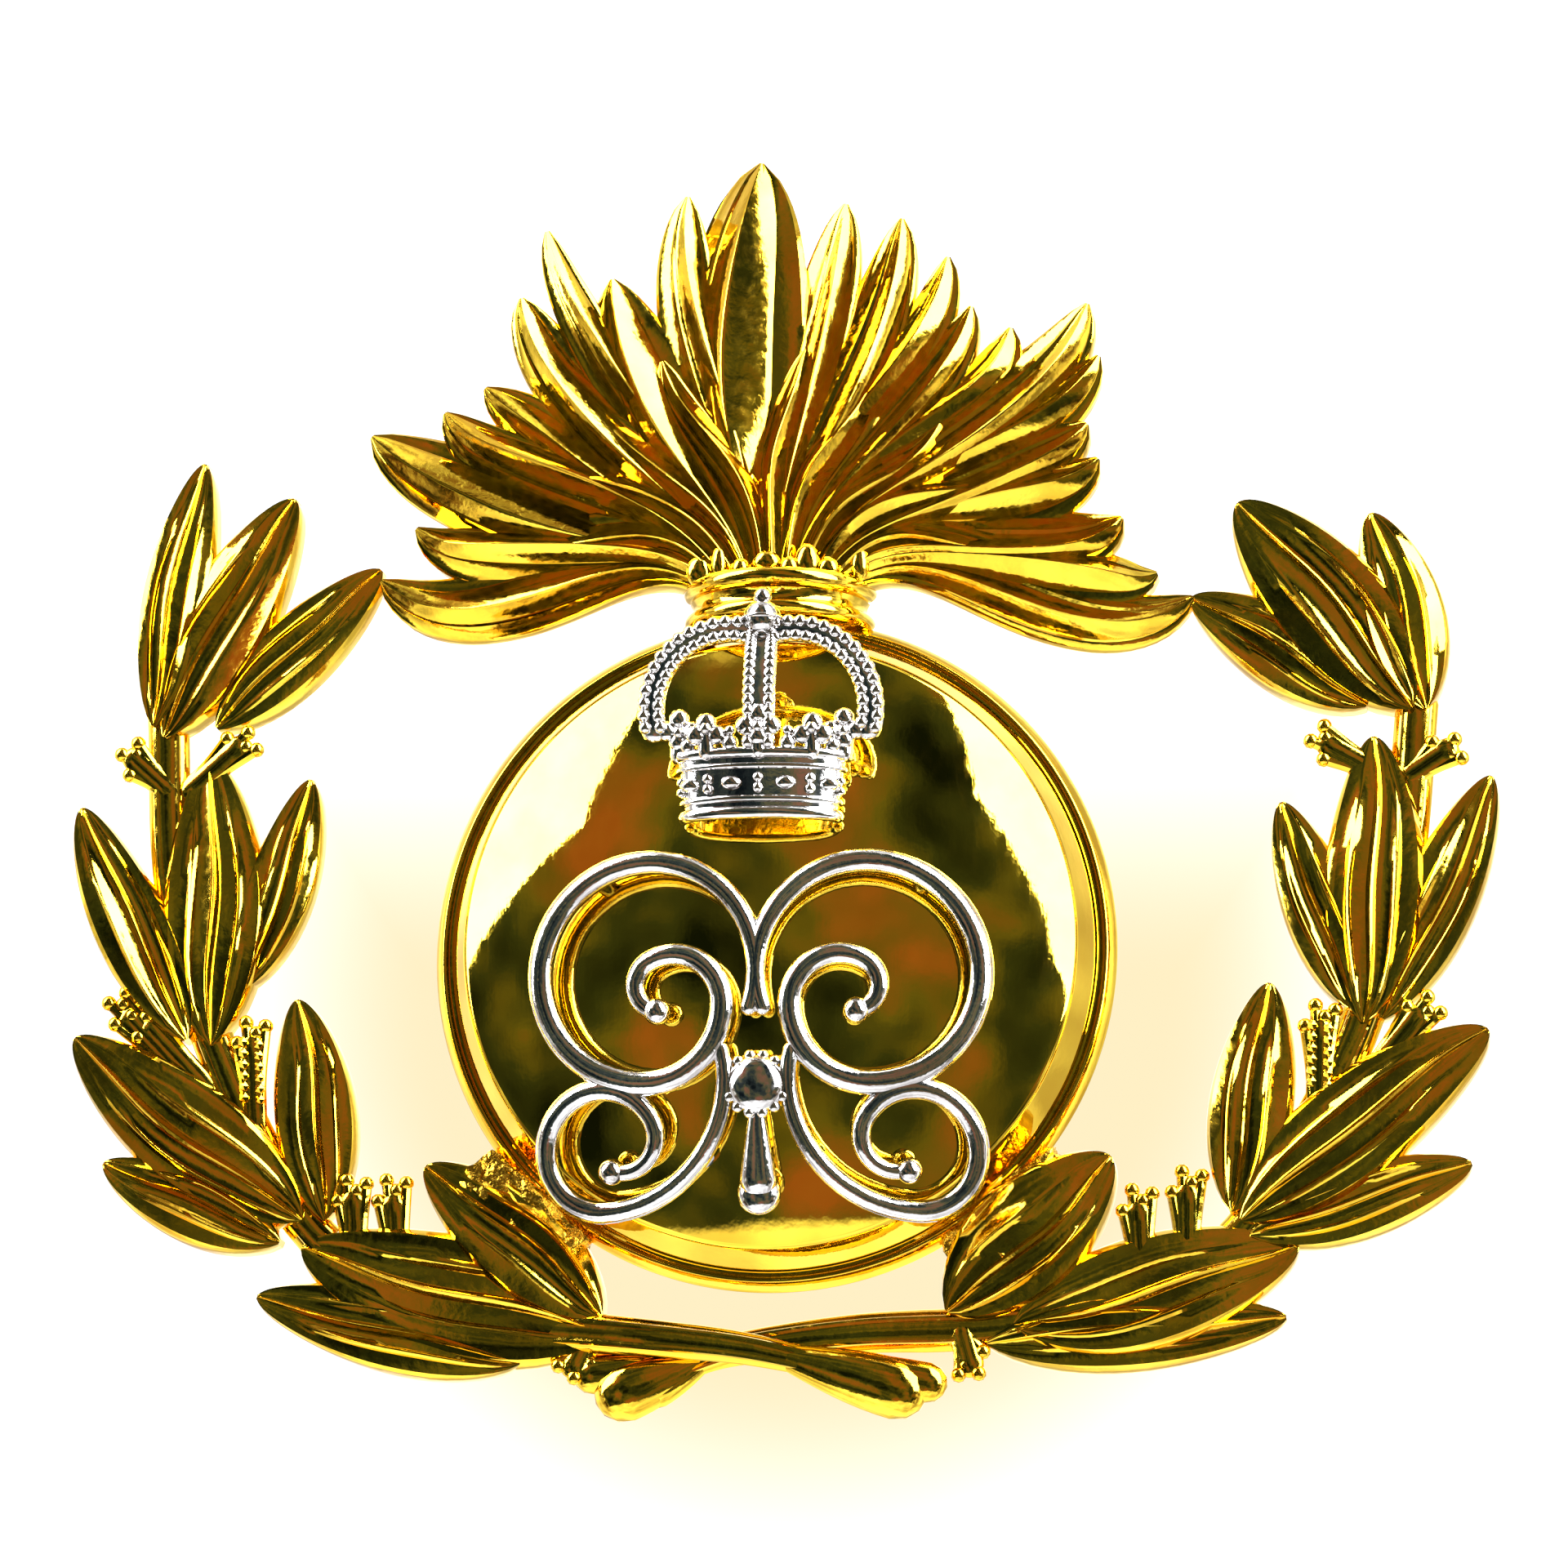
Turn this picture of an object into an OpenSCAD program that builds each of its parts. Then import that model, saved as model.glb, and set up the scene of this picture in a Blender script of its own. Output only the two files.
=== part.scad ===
// Cap badge: a flaming grenade between two laurel branches, with a silver crown and scroll on the ball.
// Every piece is laid out face up, with x across, y up the badge and z towards the viewer, and then
// stood upright by face_front(), so that the finished badge faces -Y with its back on the plane y = 0.

/* [Ball] */
// Radius of the backplate, whose edge shows as the lip around the ball
plate_r = 15.4; // [14:0.1:17]
// Thickness of the backplate
plate_t = 0.8; // [0.6:0.1:1.2]
// Radius of the dome at its foot
dome_r = 14.6; // [13:0.1:14.8]
// Height of the dome above the backplate
dome_h = 5; // [4:0.1:6]
// Radius that the dome's face is struck to
dome_curve = 30; // [26:1:36]
// Radius of the rounded edge of the dome's face
dome_edge = 0.6; // [0.4:0.1:0.8]
// How far the dome's side wall flares out towards its foot
dome_flare = 0.7; // [0.5:0.1:0.8]
// Thickness of the dome's metal
dome_t = 0.7; // [0.5:0.1:0.9]

/* [Collar] */
// Radius of the collar under the flames
collar_r = 4.4; // [4:0.1:5]
// Height of the collar's lower edge
collar_low = 14.8; // [14.7:0.1:15]
// Height of the collar's upper edge
collar_top = 17; // [16.8:0.1:17.2]

/* [Flames] */
// Thickness of the flames
flame_t = 2.4; // [2:0.1:2.6]
// Angle from upright at which the outermost flames leave the collar
flame_fan = 84; // [60:1:88]

/* [Laurel] */
// Thickness of the leaves at their midrib
leaf_t = 2.2; // [1.8:0.1:2.6]
// Width of the stems
stem_w = 1.3; // [1:0.1:1.8]
// Radius of a berry
berry_r = 0.65; // [0.5:0.05:0.9]

/* [Crown] */
// Height of the crown's back above the back plane
crown_back = 5.6; // [5.6:0.1:6]
// Thickness of the crown
crown_t = 1.6; // [1.2:0.1:1.8]

/* [Scroll] */
// Gap between the dome and the scroll
scroll_gap = 0.7; // [0.5:0.1:1]
// Thickness of the scroll
scroll_t = 1; // [0.8:0.1:1.2]

/* [Fixings] */
// Distance of each lug from the middle
lug_x = 9.5; // [8:0.5:12]
// Height of the lugs above the centre of the ball
lug_z = 3; // [0:0.5:5]
// Radius of a lug's shank, which fills the eyelet
lug_r = 1.5; // [1.45:0.05:1.6]
// Radius of a lug's neck and of its head
lug_head_r = 1.2; // [1.15:0.05:1.25]
// Length of a lug from the backplate to the end of its head
lug_len = 7; // [7:0.5:9]
// Length of a lug from the backplate to the end of the shank that fills the eyelet
lug_seat = 4.2; // [3:0.1:4.4]
// Radius of the pads under the lugs
pad_r = 2.4; // [2:0.1:3]
// Thickness of the pads
pad_t = 0.5; // [0.4:0.1:0.8]
// Radius of the closed split pin
pin_r = 0.7; // [0.6:0.05:0.75]

/* [Hidden] */
$fn = 96;

gilt = "gold";
dull_gilt = "goldenrod";
silver = "silver";
brass = "darkkhaki";
far = 40;

// How far the centre of the dome's face lies behind the backplate's front, and its place along z
dome_drop = dome_curve - dome_h;
dome_centre_z = plate_t - dome_drop;

// Studs, as places on the dome, and their sizes
crown_stud_places = [[-2.4, 6.3], [2.4, 6.3]];
scroll_stud_places = [[-7.2, 2.3], [7.2, 2.3], [-2.4, -9.8], [2.4, -9.8]];
stud_r = 0.45;
stud_hole_r = 0.5;
burr_r = 1.1;
burr_t = 0.3;
burr_hole_r = 0.47;
head_r = 0.75;
head_t = 0.3;
seat_gap = 0.05;
crown_sink = 0.3;
wall_thinning = 0.1;

// Split pin
eye_r = pin_r + 0.08;
eye_y = lug_len - 1.6;
lug_play = 0.1;
lug_step = 0.05;
pin_tip = -lug_x - 3.5;
pin_neck = lug_x + 1.9;
pin_loop_r = 1.1;
leg_gap = 0.12;
vent_r = 3.1;

// Flame tongues: tip, bend that the tongue leans towards, and width
tongues = [
    [[-18, 17], [-14.5, 12.8], 3.4], [[-16.6, 19.5], [-12, 16.6], 3], [[-18.8, 24], [-13, 18.8], 4.4],
    [[-15.2, 25], [-11.5, 21.6], 3], [[-13.5, 26], [-10, 23.6], 3], [[-12, 30.4], [-10, 25.6], 3.6],
    [[-11, 33.6], [-9.6, 27.6], 2.2], [[-7.8, 31.2], [-6.6, 26.4], 3.4], [[-5.4, 30.6], [-4.4, 26.6], 3],
    [[-4.5, 35.1], [-4.4, 29.6], 2.6], [[-1, 36.6], [-0.6, 31], 5.6], [[3, 34.6], [2.4, 29.6], 2.4],
    [[5.5, 33.8], [5, 28.6], 2.8], [[7.5, 32], [7, 27.6], 2.4], [[8.6, 29.6], [8, 25.4], 2.4],
    [[10.5, 28.6], [9.4, 24.6], 2.8], [[14, 29.6], [12.4, 24.6], 3.2], [[14.5, 27.2], [12, 23], 2.6],
    [[14, 24], [11, 21.4], 3.2], [[14.5, 22.6], [11.6, 19.8], 3], [[15.6, 19.6], [12, 17.8], 3.2],
    [[17.2, 17], [13.4, 15.8], 3], [[18.6, 16], [14.4, 12.6], 3]
];
tongue_count = len(tongues);
root_reach = 2.5;
root_y = 16.4;
root_lead = 5;
root_half = 0.5;

// Leaves: foot x and y, length, direction and width
leaves_left = [
    [-28.5, 10.5, 12.5, 81, 3], [-28, 10, 12.5, 63, 4.2], [-25.6, 10.4, 10.4, 45, 3.2],
    [-26.5, -4, 12, 116, 3.4], [-25.4, -4.2, 13.2, 92, 4.6], [-24, -1.6, 10, 74, 3],
    [-21, -12.2, 13.6, 142, 4.6], [-22, -13.2, 9, 156, 3.2], [-20, -12.2, 10.2, 99, 3.6],
    [-7.4, -16.6, 10.6, 140, 4.2], [-7.2, -17.4, 14.4, 164, 5.4], [-11, -18.6, 12.4, 166, 3.6]
];
leaves_right = [
    [28.6, 10.6, 12.4, 129, 5], [29.2, 10.6, 9.4, 105, 3.6], [26.6, 10.8, 9.4, 147, 3.6],
    [26.4, -3.6, 13, 88, 4.4], [26, -3, 10, 109, 3.2], [27.2, -3.4, 12, 66, 3.4],
    [21, -12.4, 13.8, 38, 4.6], [20.6, -12, 10.4, 81, 3.6], [21.4, -13, 10.2, 18, 3.2],
    [8, -16.4, 10, 44, 5], [11, -17, 13, 16, 5], [9.8, -17.8, 13.2, 5, 3.2]
];

// Stems, from the cut end past the crossing to the root of the top leaves
stem_left = [
    [6, -20], [2.5, -18.8], [-1.4, -18], [-7, -17.4], [-14, -16.4],
    [-20.5, -12.8], [-25, -5], [-27.4, 3], [-28, 11]
];
stem_right = [
    [-6, -20], [-3.8, -18.8], [-1.4, -18], [4, -17.3], [10, -17],
    [16, -16], [21, -12.8], [25.6, -5], [28, 3], [28.8, 11]
];
cut_left = [[4.2, -19.8], [5.6, -20.4], [7.4, -20]];
cut_right = [[-4.8, -20.2], [-6.6, -20.2], [-8, -19.4]];

// Berries: root of the stalk and the berry's centre
berries_left = [
    [[-26.8, 7.6], [-24, 10]], [[-27.8, 7.6], [-29.8, 9.4]], [[-26.2, -6], [-30, -2.3]],
    [[-22.6, -9.6], [-23.6, -3.2]], [[-18.6, -14.6], [-18.8, -10.4]], [[-16.6, -15.4], [-17, -10.4]],
    [[-8, -17.4], [-8.8, -19.4]]
];
berries_right = [
    [[27.4, 7.6], [24.2, 9.4]], [[28.4, 7.6], [30.8, 9]], [[24, -8.6], [24.4, -2.8]],
    [[26.6, -6], [29.4, -2.6]], [[16.6, -15.4], [16.4, -11]], [[18.6, -14.6], [18.6, -10.2]],
    [[8.6, -17.2], [9.2, -19.4]]
];

// Right half of the scroll: centre, radius, first and last angle, and width of each arc
scroll_arcs = [
    [[4.9, -2], 4.9, -90, 200, 1.1], [[4.9, -3.5], 3.4, 180, 270, 1], [[3.7, -3.5], 2.2, 60, 180, 0.9],
    [[4.2, -2.63], 1.2, -80, 60, 0.8], [[7, -6.7], 5.6, 168, 270, 1.1], [[7, -9.7], 2.6, -90, 150, 1],
    [[6.05, -9.15], 1.5, 150, 290, 0.8]
];
scroll_balls = [[4.4, -3.8], [6.6, -10.6]];
scroll_ball_r = 0.6;

module face_front() {
    rotate([90, 0, 0]) children();
}

// Straight bar with round ends, in the plane, its sides a touch inside the ends so that they cross cleanly
module bar(from, to, width) {
    run = to - from;
    side_w = width * 0.96;
    translate(from) circle(d = width);
    translate(to) circle(d = width);
    translate(from)
        rotate(atan2(run[1], run[0]))
            translate([0, -side_w / 2])
                square([norm(run), side_w]);
}

// Straight strip with square ends, in the plane
module strip(from, to, width) {
    run = to - from;
    translate(from)
        rotate(atan2(run[1], run[0]))
            translate([0, -width / 2])
                square([norm(run), width]);
}

// Row of bars through a list of points
module path(points, width) {
    for (i = [1:len(points) - 1]) bar(points[i - 1], points[i], width);
}

// Part of a ring between two angles, run on a little so that it laps the next part
module arc(centre, radius, start, end, width) {
    lap = 2;
    sweep = end - start + 2 * lap;
    steps = ceil(sweep / 30);
    reach = 2 * radius;
    turns = [for (i = [0:steps]) start - lap + sweep * i / steps];
    fan = [for (turn = turns) reach * [cos(turn), sin(turn)]];
    translate(centre)
        intersection() {
            difference() {
                circle(r = radius + width / 2);
                circle(r = radius - width / 2);
            }
            polygon(concat([[0, 0]], fan));
        }
}

// Moves its children to a place on the dome's face, with z square to the face and 0 at the dome's centre
module on_dome(place) {
    lean = asin(norm(place) / dome_curve);
    translate([0, 0, dome_centre_z])
        rotate([0, lean, atan2(place[1], place[0])])
            children();
}

// ---- Flames ----

function bend_point(p, t) =
    pow(1 - t, 3) * p[0] + 3 * t * pow(1 - t, 2) * p[1] + 3 * t * t * (1 - t) * p[2] + pow(t, 3) * p[3];

// Half width of a tongue along its length: narrow at the root, full past the middle, sharp at the tip
function tongue_half(width, t) =
    (root_half + (width / 2 - root_half) * sin(90 * min(1, t / 0.55))) * (1 - pow(t, 4));

function tongue_outline(index) =
    let (
        row = tongues[index],
        side = 2 * index / (tongue_count - 1) - 1,
        root = [root_reach * side, root_y],
        lead = root + root_lead * [sin(flame_fan * side), cos(flame_fan * side)],
        curve = [root, lead, row[1], row[0]],
        steps = 10,
        spine = [for (i = [0:steps]) bend_point(curve, i / steps)],
        across = [for (i = [0:steps])
            let (run = spine[min(steps, i + 1)] - spine[max(0, i - 1)]) [-run[1], run[0]] / norm(run)]
    )
    concat(
        [for (i = [0:steps]) spine[i] + across[i] * tongue_half(row[2], i / steps)],
        [for (i = [steps - 1:-1:0]) spine[i] - across[i] * tongue_half(row[2], i / steps)]
    );

module flame_plume() {
    color(gilt)
        face_front()
            for (layer = [0, 1])
                linear_extrude(flame_t - 0.5 * layer)
                    for (i = [layer:2:tongue_count - 1]) polygon(tongue_outline(i));
}

module neck_collar() {
    set_back = 0.2;
    bead_r = 0.35;
    slot_half = 3.2;
    color(gilt)
        face_front()
            difference() {
                translate([0, collar_low, -set_back])
                    rotate([-90, 0, 0]) {
                        cylinder(r = collar_r - 0.3, h = collar_top - collar_low - 0.2);
                        for (level = [bead_r, collar_top - collar_low - bead_r])
                            translate([0, 0, level])
                                rotate_extrude()
                                    translate([collar_r - bead_r, 0])
                                        circle(bead_r);
                        translate([0, 0, collar_top - collar_low - 2 * bead_r])
                            cylinder(r = collar_r - bead_r, h = 2 * bead_r);
                    }
                translate([-far, -far, -2 * far]) cube(2 * far);
                translate([0, 0, -1]) cylinder(r = plate_r, h = plate_t + 1);
                translate([-slot_half, root_y - 0.6, -1]) cube([2 * slot_half, far, flame_t + 1.05]);
            }
}

// ---- Ball ----

module ball_backplate() {
    color(gilt)
        face_front()
            difference() {
                cylinder(r = plate_r, h = plate_t);
                translate([0, 0, -1]) cylinder(r = vent_r, h = plate_t + 2);
                for (side = [-1, 1])
                    translate([side * lug_x, lug_z, -1]) cylinder(r = lug_r + lug_play, h = plate_t + 2);
            }
}

module dome_section() {
    edge_x = dome_r - dome_flare - dome_edge;
    edge_z = sqrt(pow(dome_curve - dome_edge, 2) - pow(edge_x, 2)) - dome_drop;
    corner = [edge_x, edge_z + dome_drop] * dome_curve / (dome_curve - dome_edge) - [0, dome_drop];
    // The wall runs from the foot to where it touches the rounded edge
    reach = [dome_r - edge_x, edge_z];
    lean = acos(dome_edge / norm(reach)) - atan2(reach.y, reach.x);
    touch = [edge_x, edge_z] + dome_edge * [cos(lean), sin(lean)];
    polygon([[0, 0], [dome_r, 0], touch, [edge_x, edge_z], [0, edge_z]]);
    intersection() {
        translate([edge_x, edge_z]) circle(dome_edge);
        polygon([[edge_x, edge_z], 3 * touch - 2 * [edge_x, edge_z], 3 * corner - 2 * [edge_x, edge_z]]);
    }
    intersection() {
        translate([0, -dome_drop]) circle(dome_curve);
        polygon([[0, 0], [edge_x, edge_z], corner, 2 * corner - [edge_x, edge_z], [0, 2 * dome_h]]);
    }
}

module ball_dome() {
    inner_r = dome_r - dome_flare - dome_t + wall_thinning;
    color(gilt)
        face_front()
            difference() {
                translate([0, 0, plate_t])
                    rotate_extrude()
                        difference() {
                            dome_section();
                            intersection() {
                                translate([0, -dome_drop]) circle(dome_curve - dome_t);
                                translate([-1, -1]) square([inner_r + 1, 2 * dome_h]);
                            }
                        }
                for (place = concat(crown_stud_places, scroll_stud_places))
                    on_dome(place) cylinder(r = stud_hole_r, h = 2 * dome_curve);
            }
}

// ---- Laurel ----

// Pointed leaf lying along x, with a rounded back across its width
module leaf(length, width, thick) {
    bow = (length * length + width * width) / (4 * width);
    roof = width * 0.9;
    intersection() {
        linear_extrude(thick)
            intersection() {
                translate([length / 2, bow - width / 2]) circle(bow);
                translate([length / 2, width / 2 - bow]) circle(bow);
            }
        translate([-1, 0, thick - roof]) rotate([0, 90, 0]) cylinder(r = roof, h = length + 2);
    }
}

module branch(leaves, stem, cuts, berries, stem_low) {
    stem_t = 1.1;
    cut_w = 1.5;
    difference() {
        union() {
            for (i = [0:len(leaves) - 1])
                translate([leaves[i][0], leaves[i][1], 0])
                    rotate(leaves[i][3])
                        leaf(leaves[i][2], leaves[i][4], leaf_t - 0.2 * (i % 3));
            translate([0, 0, stem_low])
                linear_extrude(stem_t) {
                    path([for (i = [0:3]) stem[i]], stem_w);
                    for (cut = cuts) bar(stem[1], cut, cut_w);
                }
            linear_extrude(1.6) path([for (i = [3:len(stem) - 1]) stem[i]], stem_w);
            for (berry = berries) {
                run = berry[1] - berry[0];
                linear_extrude(0.75) strip(berry[0], berry[1] - 0.35 * run / norm(run), 0.6);
                translate([berry[1][0], berry[1][1], berry_r + 0.3]) sphere(berry_r);
            }
        }
        translate([0, 0, -1]) cylinder(r = plate_r + 0.05, h = far);
    }
}

module laurel_left() {
    color(gilt) face_front() branch(leaves_left, stem_left, cut_left, berries_left, 1.1);
}

module laurel_right() {
    color(gilt) face_front() branch(leaves_right, stem_right, cut_right, berries_right, 0);
}

// Rough cast bar between the backplate's edge and a branch
module tie(outline) {
    tie_t = 1.4;
    color(dull_gilt)
        face_front()
            difference() {
                linear_extrude(tie_t) polygon(outline);
                translate([0, 0, -1]) cylinder(r = plate_r, h = far);
            }
}

module tie_left() {
    tie([[-12.4, -9], [-8, -12.8], [-9.4, -14.6], [-11.6, -13.4], [-14, -10.4]]);
}

module tie_right() {
    tie([[12.4, -9], [7.6, -13], [8.6, -15.2], [11.2, -13.6], [14, -10.2]]);
}

// ---- Crown ----

module crown_half() {
    arch_centre = [1.3, 9.8];
    arch_r = 3.6;
    arc(arch_centre, arch_r, 0, 112, 1);
    bar(arch_centre + [arch_r, 0], [3.4, 7.9], 1);
    for (knob = [[1.7, 8.3], [3, 8.6]]) translate(knob) circle(0.7);
}

module crown() {
    orb_r = 0.85;
    color(silver)
        face_front()
            translate([0, 0, crown_back]) {
                linear_extrude(crown_t - 0.4) {
                    crown_half();
                    mirror([1, 0]) crown_half();
                    polygon([
                        [-3.8, 8], [3.8, 8], [3.4, 5.2], [1.8, 4.9], [0, 4.8], [-1.8, 4.9], [-3.4, 5.2]
                    ]);
                }
                linear_extrude(crown_t) {
                    polygon([[-1.2, 8], [1.2, 8], [0.8, 13.4], [-0.8, 13.4]]);
                    bar([-3.4, 7.6], [3.4, 7.6], 0.6);
                    bar([-3.1, 5.5], [3.1, 5.5], 0.6);
                }
                translate([0, 13.9, orb_r + 0.1]) sphere(orb_r);
                translate([0, 14.9, orb_r + 0.1]) sphere(0.45);
            }
}

// ---- Scroll ----

module scroll_half() {
    for (row = scroll_arcs) arc(row[0], row[1], row[2], row[3], row[4]);
    for (ball = scroll_balls) translate(ball) circle(scroll_ball_r);
}

// Cuts a flat outline from a shell that follows the dome
module bent_to_dome() {
    inner = dome_curve + scroll_gap;
    intersection() {
        linear_extrude(far) children();
        translate([0, 0, dome_centre_z])
            difference() {
                sphere(inner + scroll_t);
                sphere(inner);
            }
    }
}

module scroll_ornament() {
    color(silver)
        face_front() {
            bent_to_dome() {
                scroll_half();
                mirror([1, 0]) scroll_half();
            }
            bent_to_dome() translate([0, -7]) circle(1.55);
            bent_to_dome() polygon([[-0.3, -8], [0.3, -8], [0.9, -11.4], [-0.9, -11.4]]);
            bent_to_dome() translate([0, -11.6]) circle(1);
        }
}

// ---- Studs that hold the silver pieces ----

module stud(top) {
    burr_low = dome_curve - dome_t - seat_gap - burr_t;
    foot = burr_low - seat_gap - head_t;
    translate([0, 0, foot]) {
        cylinder(r = head_r, h = head_t);
        cylinder(r = stud_r, h = top - foot);
    }
}

module crown_studs() {
    color(silver)
        face_front()
            for (place = crown_stud_places)
                on_dome(place)
                    stud((crown_back + crown_sink - dome_centre_z) / cos(asin(norm(place) / dome_curve)));
}

module scroll_studs() {
    color(silver)
        face_front()
            for (place = scroll_stud_places) on_dome(place) stud(dome_curve + scroll_gap);
}

module stud_burrs() {
    color(brass)
        face_front()
            for (place = concat(crown_stud_places, scroll_stud_places))
                on_dome(place)
                    translate([0, 0, dome_curve - dome_t - seat_gap - burr_t])
                        difference() {
                            cylinder(r = burr_r, h = burr_t);
                            translate([0, 0, -1]) cylinder(r = burr_hole_r, h = burr_t + 2);
                        }
}

// ---- Fixings on the back, modelled straight in the upright frame ----

module behind(x) {
    translate([x, 0, lug_z]) rotate([-90, 0, 0]) children();
}

// Round pads on the inner side of the backplate, with a hole for the neck of each lug
module lug_pads() {
    color(brass)
        for (side = [-1, 1])
            behind(side * lug_x)
                translate([0, 0, -plate_t - pad_t])
                    difference() {
                        cylinder(r = pad_r, h = pad_t);
                        translate([0, 0, -1]) cylinder(r = lug_head_r, h = pad_t + 2);
                    }
}

// Lug with a neck through the backplate, a shank for the eyelet, and a head that the split pin crosses
module lug(side) {
    nose = 0.4;
    color(brass)
        difference() {
            behind(side * lug_x) {
                translate([0, 0, -plate_t - pad_t]) cylinder(r = lug_head_r, h = plate_t + pad_t + lug_len);
                translate([0, 0, lug_step]) cylinder(r = lug_r, h = lug_seat - lug_step);
                translate([0, 0, lug_len]) cylinder(r1 = lug_head_r, r2 = lug_head_r - nose, h = nose);
            }
            translate([side * lug_x - far, eye_y, lug_z]) rotate([0, 90, 0]) cylinder(r = eye_r, h = 2 * far);
        }
}

module lug_left() {
    lug(-1);
}

module lug_right() {
    lug(1);
}

module split_pin() {
    length = pin_neck - pin_tip;
    color(brass)
        translate([0, eye_y, lug_z]) {
            difference() {
                translate([pin_tip, 0, 0]) rotate([0, 90, 0]) cylinder(r = pin_r, h = length);
                translate([pin_tip - 1, -far, -leg_gap / 2]) cube([length, 2 * far, leg_gap]);
            }
            translate([pin_neck + pin_loop_r, 0, 0])
                rotate([90, 0, 0])
                    rotate_extrude()
                        translate([pin_loop_r, 0]) circle(pin_r * 0.8);
        }
}

flame_plume();
neck_collar();
ball_dome();
ball_backplate();
laurel_left();
laurel_right();
tie_left();
tie_right();
crown();
crown_studs();
scroll_ornament();
scroll_studs();
stud_burrs();
lug_pads();
lug_left();
lug_right();
split_pin();
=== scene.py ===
import math
import random

import bmesh
import bpy
from bpy.props import FloatProperty, FloatVectorProperty, IntProperty, PointerProperty
from mathutils import Matrix, Quaternion, Vector, geometry, noise


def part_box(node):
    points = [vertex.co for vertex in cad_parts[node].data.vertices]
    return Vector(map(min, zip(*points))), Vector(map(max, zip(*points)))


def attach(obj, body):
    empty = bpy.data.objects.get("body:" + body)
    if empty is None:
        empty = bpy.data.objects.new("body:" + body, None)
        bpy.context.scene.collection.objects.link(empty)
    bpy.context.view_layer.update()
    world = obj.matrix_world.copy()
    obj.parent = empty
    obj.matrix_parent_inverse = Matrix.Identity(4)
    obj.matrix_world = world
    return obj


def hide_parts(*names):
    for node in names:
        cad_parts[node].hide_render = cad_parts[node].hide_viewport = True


bl_info = {
    "name": "Wreath and Grenade Cap Badge",
    "version": (1, 0, 0),
    "blender": (4, 5, 0),
    "location": "View3D > Sidebar > Badge",
    "description": "Models a gilt and silver cap badge around its packed CAD frame",
    "category": "Object",
}

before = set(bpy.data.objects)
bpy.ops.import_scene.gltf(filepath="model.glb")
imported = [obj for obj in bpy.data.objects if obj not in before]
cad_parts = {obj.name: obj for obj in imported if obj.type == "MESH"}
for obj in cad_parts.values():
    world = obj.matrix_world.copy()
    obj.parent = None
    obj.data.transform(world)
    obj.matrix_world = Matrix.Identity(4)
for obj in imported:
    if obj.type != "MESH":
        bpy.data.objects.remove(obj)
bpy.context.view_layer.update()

# Pieces are laid out face up in millimetres, with x across, y up the badge and z towards the viewer.
MM = 0.001
UPRIGHT = Matrix.Scale(MM, 4) @ Matrix.Rotation(math.radians(90), 4, "X")
UP = Vector((0, 0, 1))

PLATE_LOW, PLATE_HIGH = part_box("ball_backplate")
DOME_LOW, DOME_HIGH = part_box("ball_dome")
PLATE_R = (PLATE_HIGH.x - PLATE_LOW.x) / 2 / MM
PLATE_T = (PLATE_HIGH.y - PLATE_LOW.y) / MM
DOME_R = (DOME_HIGH.x - DOME_LOW.x) / 2 / MM
DOME_TOP = -DOME_LOW.y / MM
DOME_CURVE = 30.0
DOME_CENTRE_Z = DOME_TOP - DOME_CURVE
DOME_EDGE = 0.6
DOME_FLARE = 0.7
DOME_T = 0.7
WALL_THINNING = 0.1
VENT_R = 3.1

# ---- Tables of the shaped parts, in millimetres ----

# Flame tongues from left to right: tip, bend, width, share of the width at which the crease runs, rise
TONGUES = [
    ((-18.2, 17.2), (-13.4, 13.2), 3.6, 0.25, 0.1), ((-16.6, 19.6), (-12.6, 16), 3.2, -0.3, 0.4),
    ((-18.8, 24), (-13.4, 19.6), 4.6, 0.35, 0.1), ((-15.4, 25), (-12.2, 21.6), 3.4, -0.25, 0.5),
    ((-13.6, 26.2), (-10.8, 23), 3.2, 0.2, 0.1), ((-12, 30.4), (-10.2, 25.4), 3.8, 0.3, 0.4),
    ((-10.9, 33.6), (-9.3, 27.2), 2.6, -0.2, 0.1), ((-7.8, 31.2), (-6.8, 26), 4.4, 0.4, 0.5),
    ((-4.4, 35.1), (-4.9, 28.6), 3.6, -0.3, 0.2), ((-1, 36.6), (-2.8, 30.4), 6.2, 0.35, 0.3),
    ((2.9, 34.6), (2, 28.6), 3.4, -0.3, 0.2), ((5.5, 33.8), (4.6, 27.6), 3.6, -0.45, 0.5),
    ((7.6, 32), (6.8, 26.6), 3, 0.2, 0.1), ((8.7, 29.6), (7.8, 24.8), 3, -0.2, 0.4),
    ((10.5, 28.6), (9.2, 23.8), 3.4, 0.3, 0.1), ((14, 29.6), (11.6, 24), 3.8, -0.35, 0.5),
    ((14.5, 27.2), (11.6, 22.2), 3.2, 0.2, 0.1), ((14, 24), (11, 20.8), 3.6, -0.3, 0.4),
    ((14.5, 22.4), (11.2, 18.8), 3.4, 0.3, 0.1), ((15.6, 19.6), (11.6, 16.8), 3.8, -0.3, 0.4),
    ((17.2, 17), (13, 14.6), 3.2, 0.3, 0.2), ((18.8, 15.9), (13.6, 12.2), 3.4, -0.25, 0.0),
]
TALLEST = (-1, 36.6)
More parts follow.
